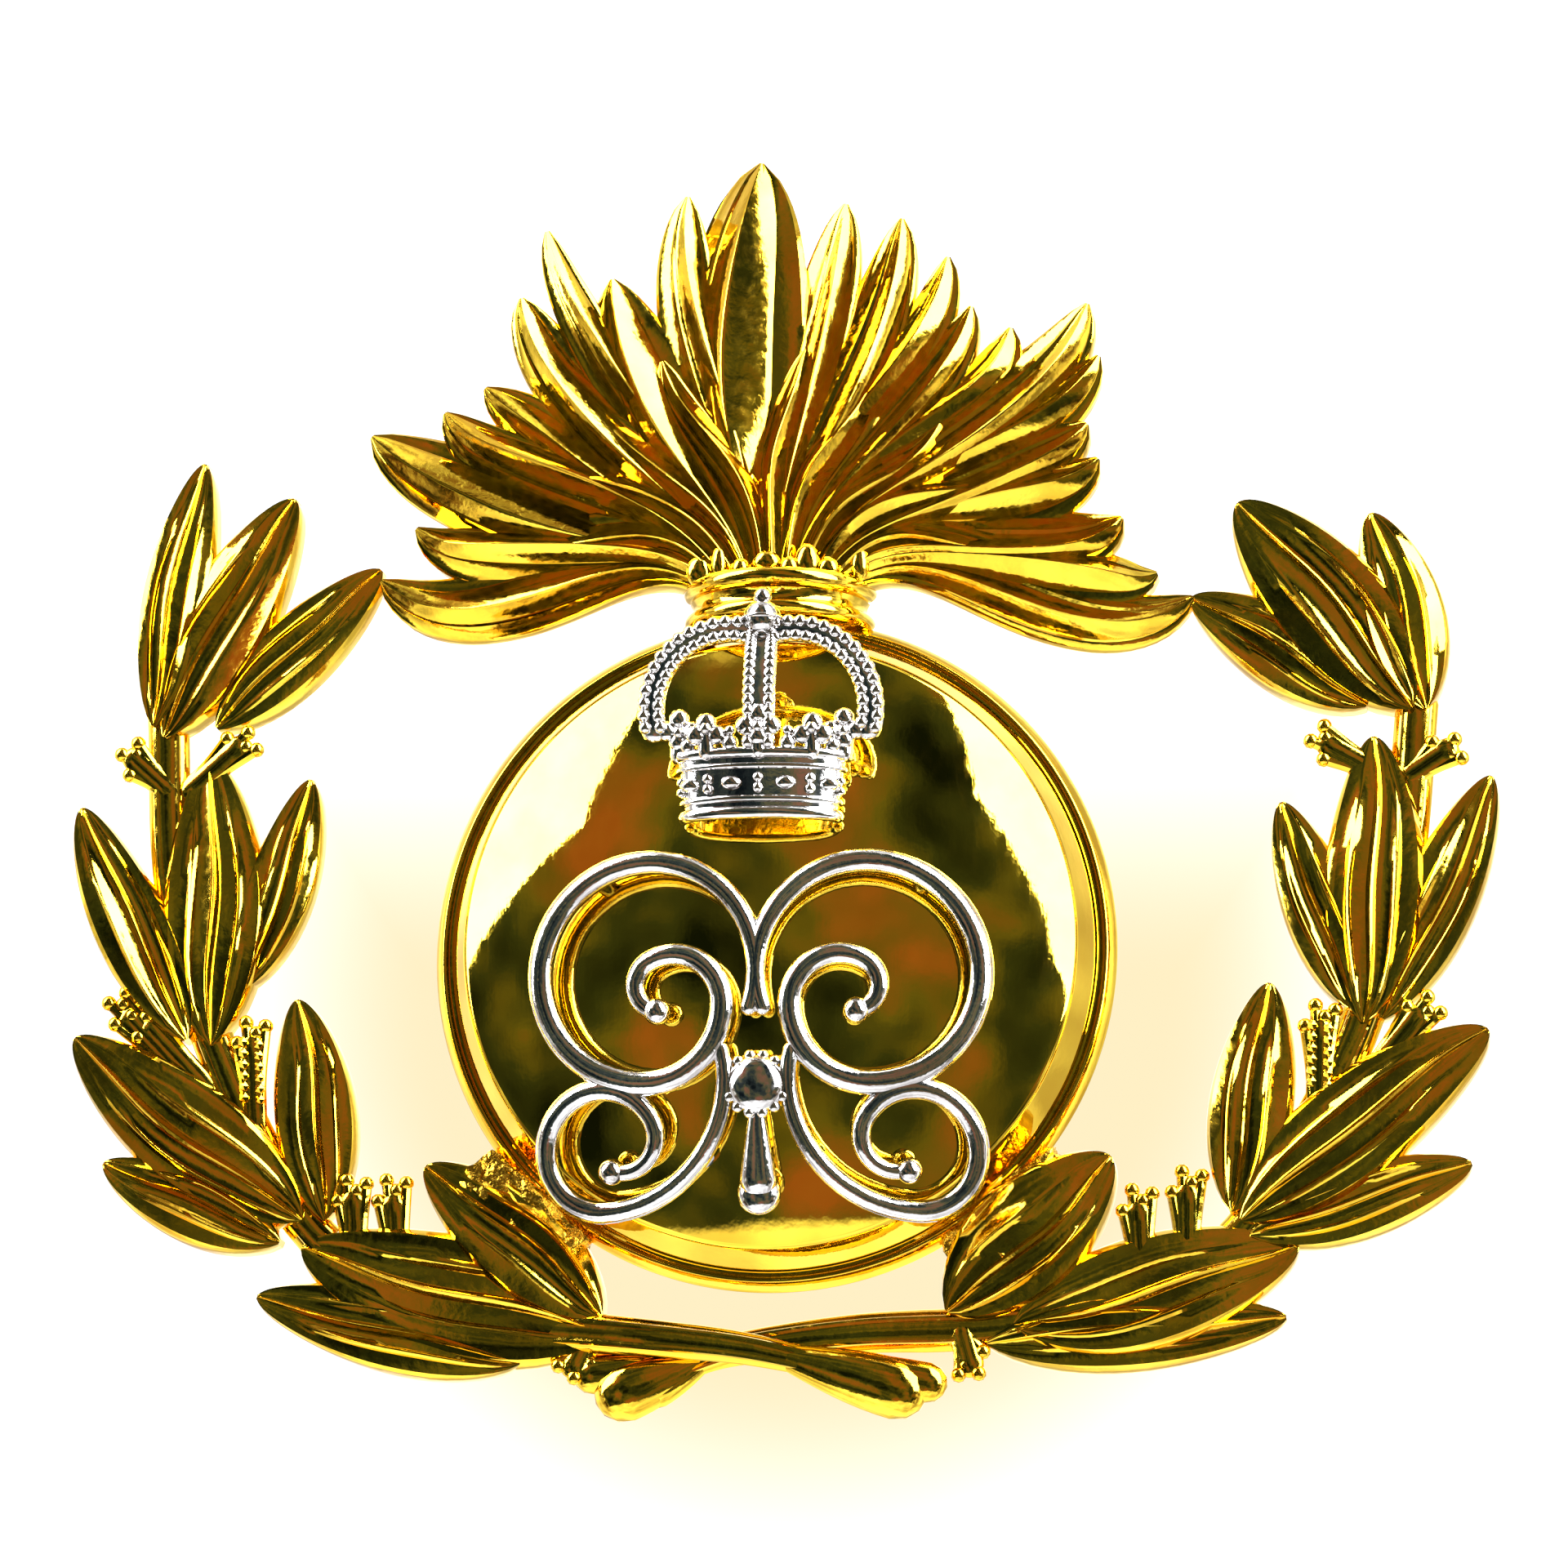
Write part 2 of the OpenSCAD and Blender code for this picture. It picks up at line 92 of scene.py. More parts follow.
# Shorter tongues that lie over the gaps between the long ones
INNER_TONGUES = [
    ((-13.2, 19), (-9.6, 17.4), 2.6, 0.3, 0.5), ((-11, 22.4), (-7.6, 19.8), 2.6, -0.3, 0.7),
    ((-8.4, 25), (-5.8, 21.6), 2.4, 0.3, 0.6), ((-5.4, 27.2), (-4, 22.8), 2.4, -0.3, 0.8),
    ((1.2, 27.6), (0.4, 22.6), 2.6, 0.3, 0.9), ((4.4, 26.6), (3.2, 22.4), 2.4, 0.3, 0.7),
    ((7.4, 24.2), (5.2, 20.8), 2.4, -0.3, 0.7), ((10, 21.8), (7, 19), 2.6, 0.3, 0.6),
    ((12.4, 18.2), (8.8, 17), 2.6, -0.3, 0.5),
]
# The backs of tongues or leaves that overlap lie this far apart
BACK_STEP = 0.03
# The flames' roots: height, spread to each side, straight run and fan
FLAME_ROOT_Y = 16.5
FLAME_REACH = 3.1
FLAME_LEAD = 6.2
FLAME_FAN = math.radians(52)
# Half widths of a tongue at its root and at its tip
FLAME_ROOT_HALF = 0.42
FLAME_TIP_HALF = 0.12
# Half width of a leaf at its ends
LEAF_END_HALF = 0.14

# Leaves: foot, length, direction in degrees, width, lean
LEAVES_LEFT = [
    ((-28.5, 10.5), 12.5, 81, 3, 0.1), ((-28, 10), 12.5, 63, 4.2, -0.1),
    ((-25.6, 10.4), 10.4, 45, 3.2, 0.15), ((-26.5, -4), 12, 116, 3.4, 0.15),
    ((-25.4, -4.2), 13.2, 92, 4.6, -0.05), ((-24, -1.6), 10, 74, 3, 0.1),
    ((-21, -12.2), 13.6, 142, 4.6, -0.1), ((-22, -13.2), 9, 156, 3.2, 0.15),
    ((-20, -12.2), 10.2, 99, 3.6, 0.05), ((-7.4, -16.6), 10.6, 140, 4.2, 0.1),
    ((-7.2, -17.4), 14.4, 164, 5.4, -0.1), ((-11, -18.6), 12.4, 166, 3.6, 0.1),
]
LEAVES_RIGHT = [
    ((28.6, 10.6), 12.4, 129, 5, -0.1), ((29.2, 10.6), 9.4, 105, 3.6, 0.1),
    ((26.6, 10.8), 9.4, 147, 3.6, 0.15), ((26.4, -3.6), 13, 88, 4.4, -0.05),
    ((26, -3), 10, 109, 3.2, 0.1), ((27.2, -3.4), 12, 66, 3.4, 0.15),
    ((21, -12.4), 13.8, 38, 4.6, -0.1), ((20.6, -12), 10.4, 81, 3.6, 0.1),
    ((21.4, -13), 10.2, 18, 3.2, 0.15), ((8, -16.4), 10, 44, 5, 0.05),
    ((11, -17), 13, 16, 5, -0.1), ((9.8, -17.8), 13.2, 5, 3.2, 0.1),
]
STEM_LEFT = [
    (2.5, -18.8), (-1.4, -18), (-7, -17.4), (-14, -16.4), (-20.5, -12.8), (-25, -5), (-27.4, 3), (-28, 11),
]
STEM_RIGHT = [
    (-3.8, -18.8), (-1.4, -18), (4, -17.3), (10, -17), (16, -16), (21, -12.8), (25.6, -5), (28, 3),
    (28.8, 11),
]
CUTS_LEFT = [(4.4, -19.4), (5.9, -19.9), (7.2, -19.6)]
CUTS_RIGHT = [(-5, -19.7), (-6.4, -19.9), (-7.8, -19.1)]
# Berries: root of the stalk, centre of the berry, and 1 for a long beaded one
BERRIES_LEFT = [
    ((-26.8, 7.6), (-24, 10), 0), ((-27.8, 7.6), (-29.8, 9.4), 0), ((-26.2, -6), (-30, -2.1), 0),
    ((-25.6, -6.2), (-28.9, -2.7), 0), ((-23.4, -8), (-23.6, -3.2), 1), ((-18.6, -14.6), (-18.8, -10.4), 0),
    ((-16.6, -15.4), (-17, -10.4), 0), ((-8, -17.4), (-8.8, -19.2), 0),
]
BERRIES_RIGHT = [
    ((27.4, 7.6), (24.2, 9.4), 0), ((28.4, 7.6), (30.6, 9), 0), ((24.4, -7.6), (24.5, -2.8), 1),
    ((26.6, -6), (29.4, -2.6), 0), ((16.6, -15.4), (16.4, -11), 0), ((18.6, -14.6), (18.6, -10.2), 0),
    ((8.6, -17.2), (9.2, -19.2), 0),
]
# Outlines and thickness of the ties
TIE_T = 1.4
TIE_LEFT = [(-12.5, -9), (-8, -13.1), (-9.4, -14.6), (-11.6, -13.4), (-14, -10.4)]
TIE_RIGHT = [(12.5, -9), (7.7, -13.3), (8.6, -15.2), (11.2, -13.6), (14, -10.2)]

# Right half of the scroll, as runs of arcs with the width of their wire. Each arc has its centre,
# radius, first and last angle in degrees.
SCROLL_RUNS = [
    ([((4.9, -2), 4.9, 200, -90), ((4.9, -3.5), 3.4, 270, 180), ((3.7, -3.5), 2.2, 180, 60),
      ((4.2, -2.63), 1.2, 60, -80)], 1.1),
    ([((7, -6.7), 5.6, 168, 270), ((7, -9.7), 2.6, -90, 150), ((6.05, -9.15), 1.5, 150, 290)], 1.0),
]


# ---- Settings ----

class BadgeSizes(bpy.types.PropertyGroup):
    """Sizes of the badge's detail."""
    flame_rise: FloatProperty(
        name="Flame height", description="Height of the flames' creases above the back",
        default=2.4 * MM, min=1.5 * MM, max=3.5 * MM, unit="LENGTH", subtype="DISTANCE")
    leaf_rise: FloatProperty(
        name="Leaf height", description="Height of the leaves above the back",
        default=2.1 * MM, min=1.2 * MM, max=3 * MM, unit="LENGTH", subtype="DISTANCE")
    stem_radius: FloatProperty(
        name="Stem radius", description="Radius of the laurel stems at their middle",
        default=0.82 * MM, min=0.3 * MM, max=1.2 * MM, unit="LENGTH", subtype="DISTANCE")
    berry_radius: FloatProperty(
        name="Berry radius", description="Radius of one laurel berry",
        default=0.62 * MM, min=0.3 * MM, max=1 * MM, unit="LENGTH", subtype="DISTANCE")
    scroll_gap: FloatProperty(
        name="Scroll gap", description="Gap between the dome and the silver scroll",
        default=0.7 * MM, min=0.3 * MM, max=1.5 * MM, unit="LENGTH", subtype="DISTANCE")
    bead_radius: FloatProperty(
        name="Bead radius", description="Radius of the beads on the crown's arches",
        default=0.3 * MM, min=0.1 * MM, max=0.4 * MM, unit="LENGTH", subtype="DISTANCE")
    dome_steps: IntProperty(
        name="Dome steps", description="Steps round the dome and the backplate",
        default=192, min=32, max=256)


class BadgeFinish(bpy.types.PropertyGroup):
    """Colours and polish of the badge's metals."""
    gilt: FloatVectorProperty(
        name="Gilt", description="Colour of the polished gilding",
        default=(0.96, 0.66, 0.055), subtype="COLOR", min=0, max=1)
    cast_gilt: FloatVectorProperty(
        name="Cast gilt", description="Colour of the rough gilded casting",
        default=(0.9, 0.6, 0.06), subtype="COLOR", min=0, max=1)
    silver: FloatVectorProperty(
        name="Silver", description="Colour of the silver plate",
        default=(0.86, 0.86, 0.87), subtype="COLOR", min=0, max=1)
    brass: FloatVectorProperty(
        name="Brass", description="Colour of the drawn brass fittings",
        default=(0.62, 0.42, 0.14), subtype="COLOR", min=0, max=1)
    polish: FloatProperty(
        name="Polish roughness", description="Roughness of the mirror polish",
        default=0.045, min=0.0, max=0.4, subtype="FACTOR")


class BadgeStage(bpy.types.PropertyGroup):
    """Camera and light."""
    distance: FloatProperty(
        name="Camera distance", description="Distance from the camera to the badge",
        default=0.32, unit="LENGTH", subtype="DISTANCE")
    width_seen: FloatProperty(
        name="Width seen", description="Width of the view at the badge",
        default=0.0706, unit="LENGTH", subtype="DISTANCE")
    azimuth: FloatProperty(
        name="Azimuth", description="Camera's turn round the badge, to the right of its face",
        default=math.radians(7), unit="ROTATION", subtype="ANGLE")
    elevation: FloatProperty(
        name="Elevation", description="Camera's height above the level of the badge",
        default=math.radians(-12), unit="ROTATION", subtype="ANGLE")
    roll: FloatProperty(
        name="Roll", description="Turn of the camera about its line of sight",
        default=math.radians(0.8), unit="ROTATION", subtype="ANGLE")
    window_glow: FloatProperty(
        name="Window light", description="Brightness of the two tall soft lights",
        default=16.0, min=0)
    room_glow: FloatProperty(
        name="Room light", description="Brightness of the white room behind the badge",
        default=1.8, min=0)


# ---- Mesh helpers ----

def pick_ring(verts):
    """The edges that join a ring of vertices in their order."""
    pairs = zip(verts, verts[1:] + verts[:1])
    return [next(e for e in a.link_edges if e.other_vert(a) is b) for a, b in pairs]


def sweep(bm, rings, closed=False):
    """Skins a row of rings by extruding the first one from place to place, with flat or joined ends."""
    bar = bmesh.new()
    verts = [bar.verts.new(p) for p in rings[0]]
    edges = [bar.edges.new(pair) for pair in zip(verts, verts[1:] + verts[:1])]
    first = edges
    for points in rings[1:]:
        made = bmesh.ops.extrude_edge_only(bar, edges=edges)["geom"]
        fresh = {g for g in made if isinstance(g, bmesh.types.BMVert)}
        following = []
        for vert, point in zip(verts, points):
            copy = next(e.other_vert(vert) for e in vert.link_edges if e.other_vert(vert) in fresh)
            copy.co = point
            following.append(copy)
        verts = following
        edges = pick_ring(verts)
    if closed:
        bmesh.ops.bridge_loops(bar, edges=first + edges)
    else:
        bmesh.ops.edgeloop_fill(bar, edges=first)
        bmesh.ops.edgeloop_fill(bar, edges=edges)
    add_to(bm, bar)


def add_to(bm, part):
    """Adds one bmesh to another."""
    carrier = bpy.data.meshes.new("carrier")
    part.to_mesh(carrier)
    part.free()
    bm.from_mesh(carrier)
    bpy.data.meshes.remove(carrier)


# Angles of the rings that round off the end of a wire
CAP_TURNS = (0.05, 0.5, 1.0)


def direction_at(line, i):
    """Way that a line runs at one of its points."""
    return (line[min(i + 1, len(line) - 1)] - line[max(i - 1, 0)]).normalized()


def tube(bm, line, radii, sides=14, flat=1.0, round_ends=True, closed=False, lift=None):
    """Round wire along a line. Flat squeezes it towards the line's plane, and lift gives a point's way up."""
    if isinstance(radii, float):
        radii = [radii] * len(line)
    places = [(line[i], direction_at(line, i), radii[i]) for i in range(len(line))]
    if closed:
        count = len(line)
        runs = [(line[(i + 1) % count] - line[i - 1]).normalized() for i in range(count)]
        places = list(zip(line, runs, radii))
    elif round_ends:
        start, run, r = places[0]
        caps = [(start - run * r * math.cos(a), run, max(r * math.sin(a), 0.02)) for a in CAP_TURNS]
        end, run, r = places[-1]
        tail = [(end + run * r * math.cos(a), run, max(r * math.sin(a), 0.02)) for a in CAP_TURNS[::-1]]
        places = caps + places + tail
    rings = []
    for point, run, r in places:
        up = lift(point) if lift else UP
        across = run.cross(up).normalized()
        up = across.cross(run)
        turns = [2 * math.pi * k / sides for k in range(sides)]
        rings.append([point + r * (math.cos(a) * across + flat * math.sin(a) * up) for a in turns])
    sweep(bm, rings, closed)


def ball(bm, centre, radius, shape=(1, 1, 1), detail=2):
    """Adds a ball, stretched along each axis as its shape says."""
    place = Matrix.Translation(centre) @ Matrix.Diagonal((*shape, 1))
    bmesh.ops.create_icosphere(bm, subdivisions=detail, radius=radius, matrix=place)


def turned(bm, profile, steps, closed=False):
    """Spins a profile of (radius, height) points about z. An open one starts and ends on the axis."""
    verts = [bm.verts.new((r, 0, z)) for r, z in profile]
    pairs = list(zip(verts, verts[1:])) + ([(verts[-1], verts[0])] if closed else [])
    edges = [bm.edges.new(pair) for pair in pairs]
    bmesh.ops.spin(bm, geom=verts + edges, cent=(0, 0, 0), axis=(0, 0, 1), dvec=(0, 0, 0),
                   angle=2 * math.pi, steps=steps, use_merge=True)
    bmesh.ops.remove_doubles(bm, verts=bm.verts, dist=1e-4)


def curve_through(points, steps):
    """A smooth line through points, as even steps between each two."""
    points = [Vector(p).to_3d() for p in points]
    line = []
    for i in range(len(points) - 1):
        a, b = points[i], points[i + 1]
        before = points[i - 1] if i else a - (b - a)
        after = points[i + 2] if i + 2 < len(points) else b + (b - a)
        leave, arrive = a + (b - before) / 6, b - (after - a) / 6
        line += geometry.interpolate_bezier(a, leave, arrive, b, steps + 1)[:-1]
    return line + [points[-1]]


def arc_line(centre, radius, start, end, step=5):
    """Points along an arc that lies flat, from one angle to another in degrees."""
    count = max(2, round(abs(end - start) / step))
    turns = [math.radians(start + (end - start) * i / count) for i in range(count + 1)]
    x, y = centre
    return [Vector((x + radius * math.cos(a), y + radius * math.sin(a), 0)) for a in turns]


def add_object(name, bm, material):
    """Makes a bmesh an object in the scene."""
    mesh = bpy.data.meshes.new(name)
    bm.to_mesh(mesh)
    bm.free()
    mesh.materials.append(material)
    made = bpy.data.objects.new(name, mesh)
    bpy.context.scene.collection.objects.link(made)
    return made


def finish_piece(bm, name, material, nodes, body="badge", smooth=40, place=UPRIGHT):
    """Stands the mesh upright in metres, makes it an object and puts it in place of its CAD nodes."""
    bmesh.ops.transform(bm, matrix=place, verts=bm.verts)
    bmesh.ops.recalc_face_normals(bm, faces=bm.faces)
    for face in bm.faces:
        face.smooth = True
    for edge in bm.edges:
        if len(edge.link_faces) == 2 and edge.calc_face_angle(0) > math.radians(smooth):
            edge.smooth = False
    piece = add_object(name, bm, material)
    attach(piece, body)
    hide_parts(*nodes)


# ---- Materials ----

class Graph:
    """A node tree that is built up from nothing."""

    def __init__(self, tree):
        self.tree = tree
        tree.nodes.clear()

    def add(self, kind, inputs, **settings):
        """Adds a node. Each input gets a plain value or the socket that feeds it."""
        node = self.tree.nodes.new("ShaderNode" + kind)
        for key, value in settings.items():
            setattr(node, key, value)
        for key, value in inputs.items():
            if isinstance(value, bpy.types.NodeSocket):
                self.tree.links.new(value, node.inputs[key])
            else:
                node.inputs[key].default_value = value
        return node.outputs

    def noise(self, vector, scale, detail):
        return self.add("TexNoise", {"Vector": vector, "Scale": scale, "Detail": detail})["Fac"]

    def ramp(self, value, stops):
        """Colours along a value, as pairs of place and colour."""
        made = self.add("ValToRGB", {"Fac": value})["Color"]
        elements = made.node.color_ramp.elements
        first, *rest, last = stops
        for stop, (place, colour) in zip(elements, (first, last)):
            stop.position = place
            stop.color = (*colour, 1)
        for place, colour in rest:
            elements.new(place).color = (*colour, 1)
        return made

    def step(self, value, low, high):
        """Goes softly from 0 at low to 1 at high."""
        inputs = {"Value": value, "From Min": low, "From Max": high}
        return self.add("MapRange", inputs, interpolation_type="SMOOTHSTEP")["Result"]

    def larger(self, one, other):
        return self.add("Math", {0: one, 1: other}, operation="MAXIMUM")["Value"]

    def mix(self, share, first, second):
        return self.add("Mix", {"Factor": share, "A": first, "B": second}, data_type="RGBA")["Result"]


def new_material(name):
    """A material and the graph of its nodes."""
    made = bpy.data.materials.new(name)
    made.use_nodes = True
    return made, Graph(made.node_tree)


def metal(name, colour, roughness, tarnish, grain=1.0, bump=0.02, brushed=(1, 1, 1)):
    """Polished or cast metal: mottled, with fine scratches along one way, uneven polish and a slight wave."""
    if name in bpy.data.materials:
        return bpy.data.materials[name]
    made, graph = new_material(name)
    place = graph.add("TexCoord", {})["Object"]
    even = graph.add("Mapping", {"Vector": place, "Scale": [1 / MM] * 3})["Vector"]
    drawn = graph.add("Mapping", {"Vector": place, "Scale": [share / MM for share in brushed]})["Vector"]
    dulled = [c * t for c, t in zip(colour, tarnish)]
    tones = graph.ramp(graph.noise(even, 0.35, 5), [(0.35, dulled), (0.65, colour)])
    scratches = graph.noise(drawn, 3.0 * grain, 8)
    polish = graph.add("MapRange", {
        "Value": scratches, "From Min": 0.35, "From Max": 0.75,
        "To Min": roughness * 0.6, "To Max": roughness * 2.4})["Result"]
    wave = graph.noise(even, 0.9 * grain, 3)
    height = graph.add("Math", {0: scratches, 1: 0.25, 2: wave}, operation="MULTIPLY_ADD")["Value"]
    relief = graph.add("Bump", {"Height": height, "Strength": 1.0, "Distance": bump * MM})["Normal"]
    shader = graph.add("BsdfPrincipled", {
        "Base Color": tones, "Metallic": 1.0, "Specular IOR Level": 0.5, "Roughness": polish,
        "Normal": relief})
    graph.add("OutputMaterial", {"Surface": shader["BSDF"]})
    return made


def gilt():
    finish = bpy.context.scene.badge_finish
    return metal("mirror_gilt", finish.gilt, finish.polish, (0.95, 0.82, 0.7), bump=0.016)


def struck_gilt():
    finish = bpy.context.scene.badge_finish
    tarnish = (0.95, 0.8, 0.66)
    return metal("struck_gilt", finish.gilt, finish.polish * 1.3, tarnish, grain=0.8, bump=0.03)


def dome_gilt():
    finish = bpy.context.scene.badge_finish
    tarnish = (0.93, 0.86, 0.8)
    return metal("brushed_gilt", finish.gilt, finish.polish * 0.5, tarnish, bump=0.006, brushed=(1, 1, 0.12))


def cast_gilt():
    finish = bpy.context.scene.badge_finish
    return metal("cast_gilt", finish.cast_gilt, 0.16, (0.9, 0.7, 0.5), grain=2.5, bump=0.12)


def silver():
    finish = bpy.context.scene.badge_finish
    return metal("silver_plate", finish.silver, 0.07, (0.7, 0.67, 0.66), grain=1.5, bump=0.02)


def brass():
    finish = bpy.context.scene.badge_finish
    tarnish = (0.75, 0.62, 0.5)
    return metal("drawn_brass", finish.brass, 0.22, tarnish, grain=1.5, bump=0.03, brushed=(0.15, 1, 1))


# ---- Flames ----

# Section of a flame tongue: share of the half width, and share of the height
FLAME_SECTION = [
    (-1, 0), (-1, 0.28), (-0.93, 0.4), (-0.78, 0.47), (-0.62, 0.5), (-0.55, 0.6), (-0.3, 0.76), (-0.05, 0.98),
    (0, 1), (0.05, 0.97), (0.25, 0.74), (0.42, 0.62), (0.5, 0.66), (0.58, 0.58), (0.8, 0.42), (0.93, 0.36),
    (1, 0.26), (1, 0),
]


def flame_blade(bm, root, lead, bend, tip, width, crease, height, sway, base, lean, stations=34):
    """One tongue: a creased blade swept from the collar to its tip, swaying once to each side on its way."""
    spine = geometry.interpolate_bezier(
        Vector(root).to_3d(), Vector(lead).to_3d(), Vector(bend).to_3d(), Vector(tip).to_3d(), stations)
    line = []
    for i, point in enumerate(spine):
        t = i / (stations - 1)
        across = UP.cross(direction_at(spine, i))
        line.append(point + across * sway * math.sin(2 * math.pi * t) * t ** 0.5)
    rings = []
    for i, point in enumerate(line):
        t = i / (stations - 1)
        across = UP.cross(direction_at(line, i))
        widening = math.sin(math.pi / 2 * min(1, t / 0.6)) ** 1.2
        full = FLAME_ROOT_HALF + (width / 2 - FLAME_ROOT_HALF) * widening
        half = max(full * (1 - t ** 5) ** 0.6, FLAME_TIP_HALF)
        offset = crease * math.sin(math.pi * (0.15 + 0.8 * t))
        rise = height * (0.86 + 0.14 * math.sin(math.pi * min(1, t * 1.15))) * (1 - 0.35 * t ** 6)
        ring = []
        for share, level in FLAME_SECTION:
            slid = share + offset * (1 - share * share)
            drop = (1 - level) * min(1, half / 1.6)
            up = rise * (1 - drop) + lean * share * half if level else base
            ring.append(point + across * slid * half + UP * up)
        rings.append(ring)
    sweep(bm, rings)


class BADGE_OT_flame_plume(bpy.types.Operator):
    """Make the plume of creased flame tongues"""
    bl_idname = "badge.flame_plume"
    bl_label = "Flame Plume"

    def execute(self, context):
        height = context.scene.badge_sizes.flame_rise / MM
        bm = bmesh.new()
        draw = random.Random(3)
        for rows, spread in ((TONGUES, 1.0), (INNER_TONGUES, 0.75)):
            last = len(rows) - 1
            for i, (tip, bend, width, crease, rise) in enumerate(rows):
                side = (2 * i / last - 1) * spread
                root = Vector((FLAME_REACH * side, FLAME_ROOT_Y))
                turn = FLAME_FAN * side * abs(side) ** 0.6
                lead = root + FLAME_LEAD * Vector((math.sin(turn), math.cos(turn)))
                sway = 0 if i in (0, last) else -0.6 * side + draw.uniform(-0.3, 0.3)
                base = BACK_STEP * (i * 5 % 12) + (0 if rows is TONGUES else 0.5)
                hooked = Vector(bend)
                if sway:
                    hooked += Vector((1.5 * side, -0.9 * abs(side)))
                lean = -0.17 if tip == TALLEST else draw.uniform(-0.1, 0.1)
                flame_blade(bm, root, lead, hooked, tip, width, crease, height - 0.4 + rise, sway, base, lean)
        # Knobs where the tongues leave the collar
        for i in range(8):
            x = -3.7 + 7.4 * i / 7 + draw.uniform(-0.25, 0.25)
            wide, long = draw.uniform(0.7, 1.3), draw.uniform(1, 1.8)
            ball(bm, (x, 17.2 + 0.3 * (i % 2), 2.35 - 0.035 * x * x), 0.5, (wide, long, 0.9), 3)
        finish_piece(bm, "flame_plume_cast", struck_gilt(), ["flame_plume"], smooth=28)
        return {"FINISHED"}


def bead_profile(radius, level, size):
    """Half round of a bead that bulges out from a radius, as points of a profile."""
    turns = [math.pi * k / 8 for k in range(9)]
    return [(radius + size * math.sin(a), level - size * math.cos(a)) for a in turns]


class BADGE_OT_neck_collar(bpy.types.Operator):
    """Make the beaded collar at the root of the flames"""
    bl_idname = "badge.neck_collar"
    bl_label = "Neck Collar"

    def execute(self, context):
        bm = bmesh.new()
        inner, outer = 3.2, 4.0
        profile = [(inner, 14.75), (outer, 14.75), *bead_profile(outer, 15.11, 0.36)]
        profile += [(3.95, 15.55), (outer, 15.8), (4.1, 16.0), (4.02, 16.08)]
        profile += [*bead_profile(outer, 16.52, 0.42), (inner, 16.94)]
        turned(bm, profile, 120, closed=True)
        lay = Matrix.Translation((0, 0, -0.2)) @ Matrix.Rotation(math.radians(-90), 4, "X")
        bmesh.ops.transform(bm, matrix=lay, verts=bm.verts)
        cut = bmesh.ops.bisect_plane(
            bm, geom=bm.verts[:] + bm.edges[:] + bm.faces[:], plane_co=(0, 0, 0.02), plane_no=(0, 0, -1),
            clear_outer=True)
        rim = [g for g in cut["geom_cut"] if isinstance(g, bmesh.types.BMEdge)]
        bmesh.ops.edgeloop_fill(bm, edges=rim)
        finish_piece(bm, "neck_collar_turned", gilt(), ["neck_collar"], smooth=50)
        return {"FINISHED"}


# ---- Ball ----

def cap_profile(radius, lean, steps):
    """Profile of a cap round the dome's centre, from its axis out to an angle."""
    turns = [lean * k / steps for k in range(steps + 1)]
    return [(radius * math.sin(a), DOME_CENTRE_Z + radius * math.cos(a)) for a in turns]


class BADGE_OT_ball(bpy.types.Operator):
    """Make the struck dome and its backplate"""
    bl_idname = "badge.ball"
    bl_label = "Ball"

    def execute(self, context):
        steps = context.scene.badge_sizes.dome_steps
        edge_x = DOME_R - DOME_FLARE - DOME_EDGE
        lean = math.asin(edge_x / (DOME_CURVE - DOME_EDGE))
        edge_z = DOME_CENTRE_Z + (DOME_CURVE - DOME_EDGE) * math.cos(lean)
        reach = Vector((DOME_R - edge_x, edge_z - PLATE_T))
        wall = math.acos(DOME_EDGE / reach.length) - math.atan2(reach.y, reach.x)
        turns = [lean + (math.pi / 2 - wall - lean) * k / 10 for k in range(1, 11)]
        outer = cap_profile(DOME_CURVE, lean, 24)
        outer += [(edge_x + DOME_EDGE * math.sin(a), edge_z + DOME_EDGE * math.cos(a)) for a in turns]
        outer += [(DOME_R - 0.04, PLATE_T + 0.08), (DOME_R, PLATE_T)]
        inner_r = DOME_R - DOME_FLARE - DOME_T + WALL_THINNING
        inner_curve = DOME_CURVE - DOME_T
        inner = cap_profile(inner_curve, math.asin(inner_r / inner_curve), 12)
        bm = bmesh.new()
        turned(bm, outer + [(inner_r, PLATE_T)] + inner[::-1], steps)
        finish_piece(bm, "ball_dome_struck", dome_gilt(), ["ball_dome"], smooth=50)

        # The plate's front has a groove inside its lip, and its rim is rounded
        bm = bmesh.new()
        profile = [
            (VENT_R, 0.0), (VENT_R, PLATE_T), (PLATE_R - 0.72, PLATE_T), (PLATE_R - 0.64, PLATE_T - 0.14),
            (PLATE_R - 0.54, PLATE_T - 0.02), (PLATE_R - 0.46, PLATE_T), (PLATE_R - 0.36, PLATE_T - 0.06),
            (PLATE_R - 0.14, 0.36), (PLATE_R - 0.02, 0.18), (PLATE_R, 0.1), (PLATE_R - 0.1, 0.0),
        ]
        turned(bm, profile, steps, closed=True)
        finish_piece(bm, "ball_backplate_turned", gilt(), ["ball_backplate"], smooth=50)
        return {"FINISHED"}


# ---- Laurel ----

# Section of a leaf: share of the half width, and share of the height, with a midrib and two side veins
LEAF_SECTION = [
    (-1, 0), (-1, 0.5), (-0.96, 0.68), (-0.88, 0.8), (-0.72, 0.79), (-0.56, 0.8), (-0.51, 0.88),
    (-0.47, 0.91), (-0.43, 0.88), (-0.38, 0.8), (-0.24, 0.785), (-0.1, 0.8), (-0.05, 0.93), (0, 0.98),
    (0.05, 0.93), (0.1, 0.8), (0.24, 0.785), (0.38, 0.8), (0.43, 0.88), (0.47, 0.91), (0.51, 0.88),
    (0.56, 0.8), (0.72, 0.79), (0.88, 0.8), (0.96, 0.68), (1, 0.5), (1, 0),
]
# Height of the leaf's face, over which the veins stand
LEAF_TOP = 0.8


